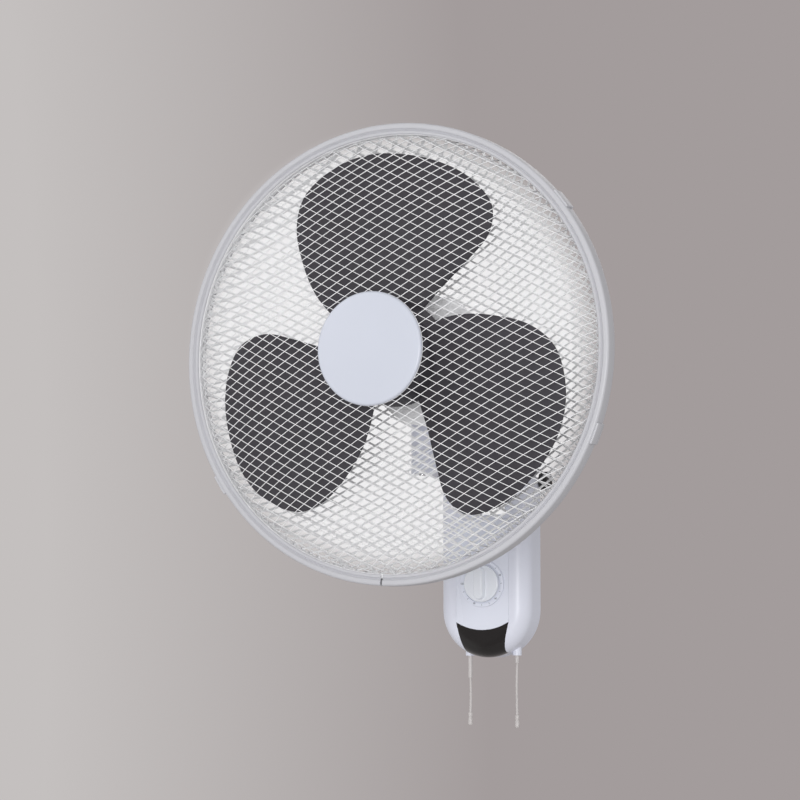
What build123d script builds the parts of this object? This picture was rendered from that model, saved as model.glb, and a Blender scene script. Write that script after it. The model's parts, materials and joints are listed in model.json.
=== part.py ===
from build123d import *
import os
from math import atan, cos, degrees, hypot, pi, radians, sin, sqrt, tan

# Wall mounted fan, in millimetres.
# The wall is the plane Y = 0 and the fan looks along -Y. X is to the right as seen from the
# front and Z is up. The origin is on the wall, at the centre of the wall plate's screw holes.

# ---------------------------------------------------------------- clearances
running_fit = 0.05          # radial, a shaft or pin that turns in its bore
fit = 0.15                  # between pieces that are pushed or screwed together
side_gap = 0.5              # between faces that pass each other
turn_gap = 1.0              # round large pieces that turn near a fixed one

# ---------------------------------------------------------------- main axes
fan_height = 190.0          # fan axis above the origin
ring_reach = 252.0          # wall to the plane where the two guards meet
swivel_reach = 118.0        # wall to the upright axis that the head swings about
tilt_reach = 17.0           # wall to the level axis that the neck tilts about
tilt_height = 84.0

# ---------------------------------------------------------------- wall base
base_half_width = 47.0
base_depth = 55.0
base_top = 96.0
base_bottom = -89.0
base_corner = 20.0          # upper corners, seen from the front
base_round = 15.0           # edge all round the front face
base_split = 35.0           # wall to the joint of the front and rear casings
base_taper_start = 20.0     # wall to where the sides begin to draw in
base_taper = 9.0            # how far they have drawn in at the wall
casing_wall = 2.5
web_front = 9.0             # wall to the front of the web behind the works
web_thickness = 2.5

panel_half_width = 28.0
panel_thickness = 2.5
panel_top = 46.0
panel_arc_edge = -54.7      # height of the arc between panel and nose, at its ends
panel_arc_middle = -62.4
nose_foot_half_width = 19.5
nose_depth = 17.0           # how far the nose wraps back under the base

slot_floor = 50.0           # bottom of the slot between the two cheeks
cheek_wall = 2.5

# ---------------------------------------------------------------- wall plate
plate_thickness = 3.0
plate_half_width = 31.0
plate_half_height = 46.5
plate_corner = 4.0
plate_hole_radius = 2.75
plate_hole_x = 22.0
plate_hole_z = 38.0
hook_x = 12.0
hook_z = 20.0
hook_width = 9.0
hook_thickness = 2.5
hook_rise = 7.0
foot_half_width = 7.0
foot_height = -74.5         # of the foot that takes the lock screw
foot_thickness = 3.0
lock_screw_reach = 4.0
lock_screw_radius = 1.5
lock_head_radius = 3.2
lock_head_thickness = 2.2

# ---------------------------------------------------------------- timer and dial
timer_height = -17.2
timer_half_width = 17.0
timer_half_height = 19.0
timer_depth = 18.0
timer_corner = 3.0
bush_radius = 5.0
knob_radius = 18.0
knob_flange = 4.0
knob_grip_length = 32.0
knob_grip_width = 10.0
knob_grip_edge = 1.2
knob_draft = 6.0            # degrees
knob_height = 11.0
knob_shaft_radius = 3.0
dial_inner_radius = 19.2
dial_outer_radius = 23.0
dial_thickness = 0.6        # sunk into the panel
dial_rise = 1.2             # raised above the panel
dial_edge = 0.6

# ---------------------------------------------------------------- pull switches and cords
pull_x = 25.0
pull_reach = 27.4
pull_switch_size = (18.0, 16.0, 22.0)
pull_switch_corner = 1.5
pull_switch_bottom = -62.0
rod_radius = 2.0
rod_clearance = 0.3
rod_in_switch = 13.0
guide_radius = 4.5
guide_length = 17.0
guide_bottom = -87.0
cord_diameter = 2.2
tip_length = 12.0
tip_radius = 2.1
tip_waist_radius = 1.6
tip_end_radius = 1.3
left_rod_bottom = -109.0
right_rod_bottom = -94.5
left_cord_bottom = -143.0
right_cord_bottom = -145.5
cord_bow = 0.9              # how far the middle of a cord strays from its line
cord_curve_share = 0.45     # of each half of a cord that its curve takes up

# ---------------------------------------------------------------- electrics in the base
terminal_size = (30.0, 10.0, 9.0)
terminal_height = 33.0
terminal_ways = 5
terminal_hole_radius = 2.1
capacitor_size = (17.0, 18.0, 34.0)
capacitor_corner = 1.5
capacitor_x = -29.0
capacitor_height = 12.0
gland_reach = 24.0
gland_radius = 6.5
gland_bore = 3.6
gland_length = 14.0
gland_bottom = -88.5

casing_screw_places = [(-33.0, 40.0), (33.0, 40.0), (-12.0, -71.0), (12.0, -71.0)]
casing_screw_radius = 1.6
casing_screw_head = 3.2
casing_head_thickness = 2.0
screw_boss = 3.6
screw_boss_reach = 51.5

# ---------------------------------------------------------------- tilt joint
tilt_bolt_radius = 4.0
tilt_nut_radius = 6.5
tilt_nut_thickness = 5.5
tilt_washer_radius = 10.0
tilt_washer_thickness = 1.5
tongue_half_width = 22.0
tongue_round = 14.0
tilt_knob_radius = 9.0
tilt_knob_thickness = 8.0
tilt_knob_lobes = 6
tilt_knob_hollow = 2.4      # radius of the hollows between its lobes
tilt_knob_edge = 0.8
tilt_bolt_in_knob = 6.0

# ---------------------------------------------------------------- neck
neck_half_width = 37.0
neck_front = 150.0
neck_back = 88.0
neck_waist = 62.0           # wall to where the neck has narrowed to its tongue
neck_bottom = 86.0
neck_top = 135.0
neck_corner = 14.0
neck_edge = 2.0
neck_wall = 3.0
neck_roof = 7.0
neck_slope_height = 112.0   # top of the neck above its waist
neck_cover_thickness = 2.5
neck_boss_radius = 3.8
neck_screw_radius = 1.6
neck_screw_length = 14.0
neck_screw_head = 3.0
neck_head_thickness = 1.8
neck_screw_x = 25.0
neck_screw_reaches = (140.0, 98.0)

# ---------------------------------------------------------------- swivel and swing drive
post_radius = 7.0
post_bore = 4.2
post_top = 168.0
post_bottom = 118.0
post_flange_radius = 22.5
post_flange_thickness = 3.0
post_nut_radius = 12.0
post_nut_thickness = 6.0
anchor_arm = 18.0
anchor_angle = -5.0         # degrees from +X, in plan
anchor_radius = 2.2
anchor_top = 150.0
crank_offset = 40.0         # from the swivel axis back to the crank's shaft
crank_arm = 12.0
crank_radius = 15.5
crank_thickness = 2.5
crank_pin_radius = 1.8
crank_shaft_radius = 3.4
crank_shaft_length = 10.0
open_eye_clearance = 2.1    # the linkage is open at this eye
link_height = 146.4
link_thickness = 2.6
link_half_width = 3.4
link_eye_radius = 4.6
link_open_eye_radius = 6.0
swing_motor_radius = 21.0
swing_motor_height = 14.5
boss_outer_radius = 12.5
boss_bottom = 151.0
boss_top = 164.0
clip_outer_radius = 9.5
clip_thickness = 2.0
bracket_plate_reach = 132.0
bracket_plate_thickness = 4.0
bracket_half_width = 24.0
bracket_rib = 3.0
bracket_rib_lap = 2.0       # of a rib over the boss and under the shelf
shelf_thickness = 3.0

# ---------------------------------------------------------------- motor
motor_face_reach = 178.5
bell_wall = 3.0
front_bell_depth = 18.0
rear_bell_front = 150.0
rear_bell_back = 132.0
nose_boss_radius = 13.0
nose_boss_length = 12.5
bearing_radius = 8.0
bearing_length = 13.0
rear_bearing_length = 9.0
rear_boss_radius = 12.0
shaft_radius = 4.0
shaft_back_reach = 128.0
stator_outer_radius = 46.0
stator_inner_radius = 26.0
stator_front = 166.0
stator_back = 146.0
slot_count = 16
slot_width = 3.5
slot_length = 12.0
winding_inner_radius = 28.0
winding_outer_radius = 41.0
winding_length = 7.0
winding_round = 2.0
rotor_gap = 0.6
casing_radius = 54.0
casing_front = 171.0
casing_back = 53.0
casing_back_round = 16.0
casing_shell = 2.5
casing_vents = 9
vent_width = 3.0
vent_length = 34.0
post_opening_radius = 22.5
motor_screw_radius = 2.0
motor_screw_circle = 38.0
motor_screw_count = 4

# ---------------------------------------------------------------- guards
guard_radius = 201.6        # outside of the two domes, where they enter the ring
front_dome = 56.0
dome_width_power = 2.6      # how square the dome's shoulder is
dome_height_power = 0.55
net_thickness = 1.8
net_cell_width = 44.0
net_cell_height = 24.8
net_strand = 3.0
net_centre_margin = 1.8     # plain band round the cap and round the rear plate
dome_steps = 9
front_disc_radius = 48.0
rim_inner_radius = 198.0
rear_net_radius = 60.0      # where the rear net meets its plate
rim_gap = 0.4               # between the two rims
rear_plate_radius = 62.0
plate_sheet = 1.5
nut_radius = 26.0
nut_length = 8.0
nut_grips = 12
nut_grip_radius = 2.6

# ---------------------------------------------------------------- trim ring, clips and cap
ring_radius = 215.0
ring_width = 13.0
ring_depth = 17.0
ring_wall = 2.2
ring_round = 4.0
ring_split_angle = 267.0    # degrees anticlockwise from image right
ring_split_width = 2.0
ring_screw_radius = 1.5
lug_radius = 208.5          # of the two lugs behind the ring that the screw draws together
lug_half_width = 3.5
lug_length = 6.0
lug_corner = 1.0
clip_angles = (38.5, 213.0, 338.0)
ring_clip_length = 26.0
ring_clip_thickness = 2.5
ring_clip_depth = 20.0
ring_clip_corner = 1.0
cap_radius = 52.5
cap_reach = 312.0
cap_crown = 1.6
cap_edge = 3.0

# ---------------------------------------------------------------- fan blades
blade_count = 3
blade_plane = 12.0          # blade's middle ahead of the ring plane
blade_rise = 26.0           # forward travel of the blade for each radian round
blade_thickness = 2.4
blade_root_radius = 40.0
blade_turn_back = -50.0     # degrees the sheet of a blade covers, clockwise and anticlockwise
blade_turn_front = 72.0
blade_sections = 9
blade_sheet_radius = 197.0
# edge of a blade as (radius, degrees anticlockwise of its middle), from its trailing root to
# its leading root
blade_edge = [(47, 57), (85, 50.5), (118, 43.5), (150, 36.5), (172, 28), (185, 14), (186.5, 0),
              (181, -19), (168, -34), (144, -40.3), (110, -40), (80, -37.5), (47, -33)]
hub_radius = 49.0
hub_front = 40.0            # ahead of the ring plane
hub_back = 4.0              # behind the ring plane
hub_wall = 3.0
hub_round = 6.0
hub_boss_radius = 10.0
hub_boss_back = 10.0        # ahead of the ring plane
drive_pin_radius = 1.5
drive_pin_half_length = 9.0
blade_nut_radius = 14.0
blade_nut_length = 11.0
blade_nut_cover = 3.0       # closed front of the nut
blade_nut_grips = 8
blade_nut_grip_radius = 1.8
blade_nut_draft = 8.0       # degrees

# ---------------------------------------------------------------- placing helpers
fan_axis = Axis((0, 0, fan_height), (0, -1, 0))


def facing(reach, height=0.0):
    """Plane at a distance from the wall, drawn on as seen from the front: x = X, y = Z."""
    return Plane(origin=(0, -reach, height), x_dir=(1, 0, 0), z_dir=(0, -1, 0))


def turning(reach=0.0, angle=0.0):
    """Plane through the fan axis at an angle: x is the radius, y runs forward from the reach."""
    across, up = cos(radians(angle)), sin(radians(angle))
    return Plane(origin=(0, -reach, fan_height), x_dir=(across, 0, up), z_dir=(up, 0, -across))


def side_view(x=0.0):
    """Plane across the width: x = forward from the wall, y = Z, pushed towards -X."""
    return Plane(origin=(x, 0, 0), x_dir=(0, -1, 0), z_dir=(-1, 0, 0))


def ring_of(plane, outer, inner, length):
    """Plain tube on a plane, pushed along its normal."""
    with BuildPart() as tube:
        with BuildSketch(plane):
            Circle(outer)
            if inner > 0:
                Circle(inner, mode=Mode.SUBTRACT)
        extrude(amount=length)
    return tube.part


def keep(builder, name):
    """Label a finished piece and write it."""
    builder.part.label = name
    export_step(builder.part, f"parts/{name}.step")


os.makedirs("parts", exist_ok=True)

# ================================================================ base casings
base_arc_centre = base_bottom + base_half_width


def base_outline(inset):
    """Front view of the base, drawn in by inset: round below, with rounded upper corners."""
    half = base_half_width - inset
    top = base_top - inset
    with BuildSketch() as outline:
        with Locations((0, (top + base_arc_centre) / 2)):
            Rectangle(2 * half, top - base_arc_centre)
        fillet(outline.vertices().group_by(Axis.Y)[-1], base_corner - inset)
        with Locations((0, base_arc_centre)):
            Circle(half)
    return outline.sketch


def front_block(inset):
    """Solid front half of the base, drawn in by inset on its sides and its front."""
    outline = base_outline(inset)
    with BuildPart() as block:
        with BuildSketch(facing(base_split)):
            add(outline)
        extrude(amount=base_depth - inset - base_split)
        fillet(block.faces().sort_by(Axis.Y)[0].edges(), base_round - inset)
    return block.part


def rear_block(inset):
    """Solid rear half of the base, drawn in by inset on its sides."""
    outline = base_outline(inset)
    wall_side = Plane(origin=(0, -base_taper_start, 0), x_dir=(-1, 0, 0), z_dir=(0, 1, 0))
    with BuildPart() as block:
        with BuildSketch(facing(base_taper_start)):
            add(outline)
        extrude(amount=base_split - base_taper_start)
        with BuildSketch(wall_side):
            add(outline)
        extrude(amount=base_taper_start, taper=degrees(atan(base_taper / base_taper_start)))
    return block.part


def panel_outline(gap):
    """Inset strip of the front face, from its square top to the arc above the nose."""
    half = panel_half_width - gap
    with BuildSketch() as outline:
        with BuildLine():
            ThreePointArc((-half, panel_arc_edge + gap), (0, panel_arc_middle + gap),
                          (half, panel_arc_edge + gap))
            Polyline((half, panel_arc_edge + gap), (half, panel_top - gap),
                     (-half, panel_top - gap), (-half, panel_arc_edge + gap))
        make_face()
    return outline.sketch


def nose_outline(gap):
    """Front view of the nose, from the arc down past the bottom of the base."""
    half = panel_half_width - gap
    foot = nose_foot_half_width - gap
    below = base_bottom - base_round
    with BuildSketch() as outline:
        with BuildLine():
            ThreePointArc((-half, panel_arc_edge - gap), (0, panel_arc_middle - gap),
                          (half, panel_arc_edge - gap))
            Polyline((half, panel_arc_edge - gap), (foot, base_bottom), (foot, below),
                     (-foot, below), (-foot, base_bottom), (-half, panel_arc_edge - gap))
        make_face()
    return outline.sketch


def front_slice(outline, depth):
    """Prism of an outline over the front of the base, going back by depth from its face."""
    with BuildPart() as prism:
        with BuildSketch(facing(base_depth - depth)):
            add(outline)
        extrude(amount=depth + 1)
    return prism.part


block_full = front_block(0)
block_wall = front_block(casing_wall)
block_panel = front_block(panel_thickness)
block_deep = front_block(panel_thickness + casing_wall)
slot_half_width = tongue_half_width + tilt_washer_thickness + side_gap
slot_height = base_top - slot_floor + 1

with BuildPart() as base_slot:
    with BuildSketch(Plane.XY.offset(slot_floor)):
        with Locations((0, -base_depth / 2)):
            Rectangle(2 * slot_half_width, base_depth + 2)
    extrude(amount=slot_height)

with BuildPart() as slot_lining:
    with BuildSketch(Plane.XY.offset(slot_floor - cheek_wall)):
        with Locations((0, -base_depth / 2)):
            Rectangle(2 * (slot_half_width + cheek_wall), base_depth + 2)
    extrude(amount=slot_height + cheek_wall)

with BuildPart() as front_cavity:
    add(block_wall)
    with BuildSketch(facing(base_split)):
        Rectangle(2 * (panel_half_width + casing_wall), 3 * base_top)
    extrude(amount=base_depth, mode=Mode.SUBTRACT)
    add(block_deep)
    add(slot_lining.part, mode=Mode.SUBTRACT)

with BuildPart() as panel_recess:
    add(front_slice(panel_outline(0), base_round))
    add(front_slice(nose_outline(0), nose_depth))
    add(block_panel, mode=Mode.SUBTRACT)

with BuildPart() as front_casing:
    add(block_full)
    add(front_cavity.part, mode=Mode.SUBTRACT)
    add(panel_recess.part, mode=Mode.SUBTRACT)
    add(base_slot.part, mode=Mode.SUBTRACT)
    with BuildSketch(facing(base_split)):
        with Locations(*casing_screw_places):
            Circle(screw_boss)
    extrude(amount=screw_boss_reach - base_split)
    with BuildSketch(facing(base_split)):
        with Locations(*casing_screw_places):
            Circle(casing_screw_radius + running_fit)
    extrude(amount=screw_boss_reach - base_split - casing_wall, mode=Mode.SUBTRACT)
    with BuildSketch(facing(base_split)):
        with Locations((0, timer_height)):
            Circle(bush_radius + fit)
    extrude(amount=base_depth, mode=Mode.SUBTRACT)
keep(front_casing, "front_casing")

hook_slot_height = hook_thickness + hook_rise + side_gap
hook_slot_middle = hook_z + hook_thickness / 2 + fit - hook_slot_height / 2

with BuildPart() as rear_casing:
    add(rear_block(0))
    add(rear_block(casing_wall), mode=Mode.SUBTRACT)
    web_outline = base_outline(casing_wall)
    with BuildSketch(facing(web_front - web_thickness)):
        add(web_outline)
    extrude(amount=web_thickness)
    add(slot_lining.part)
    add(rear_block(0), mode=Mode.INTERSECT)
    add(base_slot.part, mode=Mode.SUBTRACT)
    # bosses and holes for the casing screws
    with BuildSketch(facing(web_front)):
        with Locations(*casing_screw_places):
            Circle(screw_boss)
    extrude(amount=base_split - web_front)
    with BuildSketch(facing(0)):
        with Locations(*casing_screw_places):
            Circle(casing_screw_radius + running_fit)
    extrude(amount=base_split, mode=Mode.SUBTRACT)
    # slots that hang on the wall plate's hooks
    with BuildSketch(facing(0)):
        with Locations((-hook_x, hook_slot_middle), (hook_x, hook_slot_middle)):
            Rectangle(hook_width + 2 * side_gap, hook_slot_height)
    extrude(amount=web_front, mode=Mode.SUBTRACT)
    # tilt bolt through both cheeks
    with BuildSketch(side_view(base_half_width)):
        with Locations((tilt_reach, tilt_height)):
            Circle(tilt_bolt_radius + running_fit)
    extrude(amount=2 * base_half_width, mode=Mode.SUBTRACT)
    # holes below for the pull rods, the mains lead and the lock screw
    with BuildSketch(Plane.XY.offset(base_bottom - 1)):
        with Locations((-pull_x, -pull_reach), (pull_x, -pull_reach)):
            Circle(guide_radius)
        with Locations((0, -gland_reach)):
            Circle(gland_radius)
        with Locations((0, -lock_screw_reach)):
            Circle(lock_screw_radius + running_fit)
    extrude(amount=base_half_width / 2, mode=Mode.SUBTRACT)
keep(rear_casing, "rear_casing")

# ================================================================ panel, nose and dial
with BuildPart() as front_panel:
    add(front_slice(panel_outline(fit), base_round))
    add(block_full, mode=Mode.INTERSECT)
    add(block_panel, mode=Mode.SUBTRACT)
    with BuildSketch(facing(base_depth - panel_thickness)):
        with Locations((0, timer_height)):
            Circle(bush_radius + fit)
    extrude(amount=panel_thickness, mode=Mode.SUBTRACT)
    with BuildSketch(facing(base_depth - dial_thickness)):
        with Locations((0, timer_height)):
            Circle(dial_outer_radius + fit)
            Circle(dial_inner_radius - fit, mode=Mode.SUBTRACT)
    extrude(amount=dial_thickness, mode=Mode.SUBTRACT)
keep(front_panel, "front_panel")

with BuildPart() as front_nose:
    add(front_slice(nose_outline(fit), nose_depth - fit))
    add(block_full, mode=Mode.INTERSECT)
    add(block_panel, mode=Mode.SUBTRACT)
keep(front_nose, "front_nose")

with BuildPart() as dial_ring:
    add(ring_of(facing(base_depth - dial_thickness, timer_height),
                dial_outer_radius, dial_inner_radius, dial_thickness + dial_rise))
    fillet(dial_ring.faces().sort_by(Axis.Y)[0].edges(), dial_edge)
keep(dial_ring, "dial_ring")

# ================================================================ timer, its shaft and knob
timer_front = base_depth - panel_thickness - casing_wall

with BuildPart() as timer_switch:
    with BuildSketch(facing(timer_front - timer_depth, timer_height)):
        RectangleRounded(2 * timer_half_width, 2 * timer_half_height, timer_corner)
    extrude(amount=timer_depth)
    with BuildSketch(facing(timer_front, timer_height)):
        Circle(bush_radius)
    extrude(amount=panel_thickness + casing_wall)
    with BuildSketch(facing(timer_front - timer_depth + casing_wall, timer_height)):
        Circle(knob_shaft_radius + running_fit)
    extrude(amount=base_depth, mode=Mode.SUBTRACT)
keep(timer_switch, "timer_switch")

knob_back = base_depth + side_gap

with BuildPart() as timer_shaft:
    with BuildSketch(facing(timer_front - timer_depth + casing_wall + side_gap, timer_height)):
        Circle(knob_shaft_radius)
    extrude(amount=knob_back + knob_flange - timer_front + timer_depth - casing_wall)
keep(timer_shaft, "timer_shaft")

with BuildPart() as timer_knob:
    with BuildSketch(facing(knob_back, timer_height)):
        Circle(knob_radius)
    extrude(amount=knob_flange)
    fillet(timer_knob.faces().sort_by(Axis.Y)[0].edges(), knob_flange / 3)
    with BuildSketch(facing(knob_back + knob_flange, timer_height)):
        SlotOverall(knob_grip_length, knob_grip_width, rotation=90)
    extrude(amount=knob_height - knob_flange, taper=knob_draft)
    fillet(timer_knob.faces().sort_by(Axis.Y)[0].edges(), knob_grip_edge)
    with BuildSketch(facing(knob_back, timer_height)):
        Circle(knob_shaft_radius)
    extrude(amount=knob_flange + side_gap, mode=Mode.SUBTRACT)
keep(timer_knob, "timer_knob")

# ================================================================ wall plate and its screws
hook_stem = web_front + side_gap + hook_thickness

with BuildPart() as wall_plate:
    with BuildSketch(facing(0)):
        RectangleRounded(2 * plate_half_width, 2 * plate_half_height, plate_corner)
        with Locations((0, (foot_height - plate_half_height) / 2)):
            Rectangle(2 * foot_half_width, foot_thickness - foot_height - plate_half_height)
    extrude(amount=plate_thickness)
    with BuildSketch(facing(0)):
        with Locations((-hook_x, hook_z), (hook_x, hook_z)):
            Rectangle(hook_width, hook_thickness)
    extrude(amount=hook_stem)
    with BuildSketch(facing(hook_stem - hook_thickness)):
        with Locations((-hook_x, hook_z + hook_rise / 2), (hook_x, hook_z + hook_rise / 2)):
            Rectangle(hook_width, hook_rise)
    extrude(amount=hook_thickness)
    with BuildSketch(facing(0)):
        with Locations((0, foot_height)):
            Rectangle(2 * foot_half_width, foot_thickness)
    extrude(amount=web_front - web_thickness - fit)
    with BuildSketch(Plane.XY.offset(foot_height - foot_thickness)):
        with Locations((0, -lock_screw_reach)):
            Circle(lock_screw_radius + running_fit)
    extrude(amount=2 * foot_thickness, mode=Mode.SUBTRACT)
    with BuildSketch(facing(0)):
        with GridLocations(2 * plate_hole_x, 2 * plate_hole_z, 2, 2):
            Circle(plate_hole_radius)
    extrude(amount=plate_thickness, mode=Mode.SUBTRACT)
keep(wall_plate, "wall_plate")

lock_head_back = (lock_screw_reach + lock_head_radius) / base_taper_start
lock_head_top = base_bottom + base_taper * (1 - lock_head_back) - fit

with BuildPart() as lock_screw:
    with BuildSketch(Plane.XY.offset(lock_head_top)):
        with Locations((0, -lock_screw_reach)):
            Circle(lock_screw_radius)
    extrude(amount=foot_height + foot_thickness - lock_head_top)
    with BuildSketch(Plane.XY.offset(lock_head_top)):
        with Locations((0, -lock_screw_reach)):
            Circle(lock_head_radius)
    extrude(amount=-lock_head_thickness)
keep(lock_screw, "lock_screw")

with BuildPart() as casing_screws:
    with BuildSketch(facing(web_front - web_thickness)):
        with Locations(*casing_screw_places):
            Circle(casing_screw_radius)
    extrude(amount=screw_boss_reach - 2 * casing_wall - web_front + web_thickness)
    with BuildSketch(facing(web_front - web_thickness)):
        with Locations(*casing_screw_places):
            Circle(casing_screw_head)
    extrude(amount=-casing_head_thickness)
keep(casing_screws, "casing_screws")

# ================================================================ pull switches, rods and cords
rod_top = pull_switch_bottom + rod_in_switch


def pull_switch(x):
    """Body of one pull switch, with the bore that its rod slides in."""
    with BuildPart() as body:
        with BuildSketch(Plane.XY.offset(pull_switch_bottom)):
            with Locations((x, -pull_reach)):
                RectangleRounded(pull_switch_size[0], pull_switch_size[1], pull_switch_corner)
        extrude(amount=pull_switch_size[2])
        with BuildSketch(Plane.XY.offset(pull_switch_bottom)):
            with Locations((x, -pull_reach)):
                Circle(rod_radius + rod_clearance)
        extrude(amount=rod_in_switch + side_gap, mode=Mode.SUBTRACT)
    return body


def pull_rod(x, bottom):
    """Rod that joins a pull cord to its switch."""
    with BuildPart() as rod:
        with BuildSketch(Plane.XY.offset(bottom)):
            with Locations((x, -pull_reach)):
                Circle(rod_radius)
        extrude(amount=rod_top - bottom)
        fillet(rod.edges().sort_by(Axis.Z)[0], rod_radius / 3)
    return rod


def pull_cord(x, top, bottom, bow):
    """Cord that hangs from a rod, with the slight bow of a cord that carries little weight."""
    middle = (top + bottom) / 2
    route = [(x, -pull_reach, top), (x + bow, -pull_reach, middle), (x, -pull_reach, bottom)]
    run = hypot(bow, (top - bottom) / 2)
    half_turn = atan(bow / ((top - bottom) / 2))
    radius = cord_curve_share * run / tan(abs(half_turn))
    with BuildPart() as cord:
        with BuildLine() as path:
            FilletPolyline(*route, radius=[radius])
        wire = path.wires()[0]
        with BuildSketch(Plane(origin=wire @ 0, z_dir=wire % 0)):
            Circle(cord_diameter / 2)
        sweep(path=wire)
    ideal = wire.length * pi * (cord_diameter / 2) ** 2
    print(f"cord at x {x}: radius {radius:.0f}, length {wire.length:.1f},"
          f" volume {cord.part.volume:.2f} of {ideal:.2f}")
    return cord


def cord_tip(x, top):
    """Small moulded end on a cord, with a waist below its collar."""
    collar = tip_length / 4
    with BuildPart() as tip:
        with BuildSketch(Plane(origin=(x, -pull_reach, top), x_dir=(1, 0, 0), z_dir=(0, -1, 0))):
            with BuildLine():
                Polyline((0, 0), (tip_radius, 0), (tip_radius, -collar), (tip_waist_radius, -1.3 * collar),
                         (tip_waist_radius, -1.6 * collar), (tip_radius, -2 * collar),
                         (tip_radius, -3.6 * collar), (tip_end_radius, -tip_length),
                         (0, -tip_length), close=True)
            make_face()
        revolve(axis=Axis((x, -pull_reach, 0), (0, 0, 1)))
    return tip


for side, x, rod_bottom, cord_bottom, bow in (
        ("left", -pull_x, left_rod_bottom, left_cord_bottom, cord_bow),
        ("right", pull_x, right_rod_bottom, right_cord_bottom, -cord_bow)):
    keep(pull_switch(x), f"pull_switch_{side}")
    keep(pull_rod(x, rod_bottom), f"pull_rod_{side}")
    keep(pull_cord(x, rod_bottom, cord_bottom, bow), f"pull_cord_{side}")
    keep(cord_tip(x, cord_bottom), f"cord_tip_{side}")

with BuildPart() as cord_guides:
    for x in (-pull_x, pull_x):
        with BuildSketch(Plane.XY.offset(guide_bottom)):
            with Locations((x, -pull_reach)):
                Circle(guide_radius)
                Circle(rod_radius + rod_clearance, mode=Mode.SUBTRACT)
        extrude(amount=guide_length)
keep(cord_guides, "cord_guides")

# ================================================================ electrics in the base
with BuildPart() as terminal_block:
    with BuildSketch(facing(web_front)):
        with Locations((0, terminal_height)):
            Rectangle(terminal_size[0], terminal_size[1])
    extrude(amount=terminal_size[2])
    with BuildSketch(facing(web_front + terminal_size[2])):
        with Locations((0, terminal_height)):
            with GridLocations(terminal_size[0] / terminal_ways, 1, terminal_ways, 1):
                Circle(terminal_hole_radius)
    extrude(amount=-terminal_size[2] / 2, mode=Mode.SUBTRACT)
keep(terminal_block, "terminal_block")

with BuildPart() as run_capacitor:
    with BuildSketch(facing(web_front)):
        with Locations((capacitor_x, capacitor_height)):
            RectangleRounded(capacitor_size[0], capacitor_size[2], capacitor_corner)
    extrude(amount=capacitor_size[1])
keep(run_capacitor, "run_capacitor")

with BuildPart() as cable_gland:
    with BuildSketch(Plane.XY.offset(gland_bottom)):
        with Locations((0, -gland_reach)):
            Circle(gland_radius)
            Circle(gland_bore, mode=Mode.SUBTRACT)
    extrude(amount=gland_length)
keep(cable_gland, "cable_gland")

# ================================================================ tilt joint
cheek_inner = slot_half_width + cheek_wall

with BuildPart() as tilt_bolt:
    with BuildSketch(side_view(base_half_width + tilt_bolt_in_knob)):
        with Locations((tilt_reach, tilt_height)):
            Circle(tilt_bolt_radius)
    extrude(amount=base_half_width + tilt_bolt_in_knob + cheek_inner + tilt_nut_thickness)
keep(tilt_bolt, "tilt_bolt")

with BuildPart() as tilt_nut:
    with BuildSketch(side_view(-cheek_inner)):
        with Locations((tilt_reach, tilt_height)):
            RegularPolygon(tilt_nut_radius, 6)
            Circle(tilt_bolt_radius, mode=Mode.SUBTRACT)
    extrude(amount=tilt_nut_thickness)
keep(tilt_nut, "tilt_nut")

with BuildPart() as tilt_washers:
    for x in (slot_half_width, -slot_half_width + tilt_washer_thickness):
        with BuildSketch(side_view(x)):
            with Locations((tilt_reach, tilt_height)):
                Circle(tilt_washer_radius)
                Circle(tilt_bolt_radius + running_fit, mode=Mode.SUBTRACT)
        extrude(amount=tilt_washer_thickness)
keep(tilt_washers, "tilt_washers")

knob_inner_face = base_half_width + side_gap

with BuildPart() as tilt_knob:
    with BuildSketch(side_view(knob_inner_face + tilt_knob_thickness)):
        with Locations((tilt_reach, tilt_height)):
            Circle(tilt_knob_radius)
            with PolarLocations(tilt_knob_radius + tilt_knob_hollow / 2, tilt_knob_lobes):
                Circle(tilt_knob_hollow, mode=Mode.SUBTRACT)
    extrude(amount=tilt_knob_thickness)
    chamfer(tilt_knob.faces().sort_by(Axis.X)[-1].outer_wire().edges(), tilt_knob_edge)
    with BuildSketch(side_view(base_half_width + tilt_bolt_in_knob)):
        with Locations((tilt_reach, tilt_height)):
            Circle(tilt_bolt_radius + running_fit)
    extrude(amount=tilt_knob_thickness, mode=Mode.SUBTRACT)
keep(tilt_knob, "tilt_knob")

# ================================================================ neck
neck_screw_places = [(x, -y) for x in (-neck_screw_x, neck_screw_x) for y in neck_screw_reaches]

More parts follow.
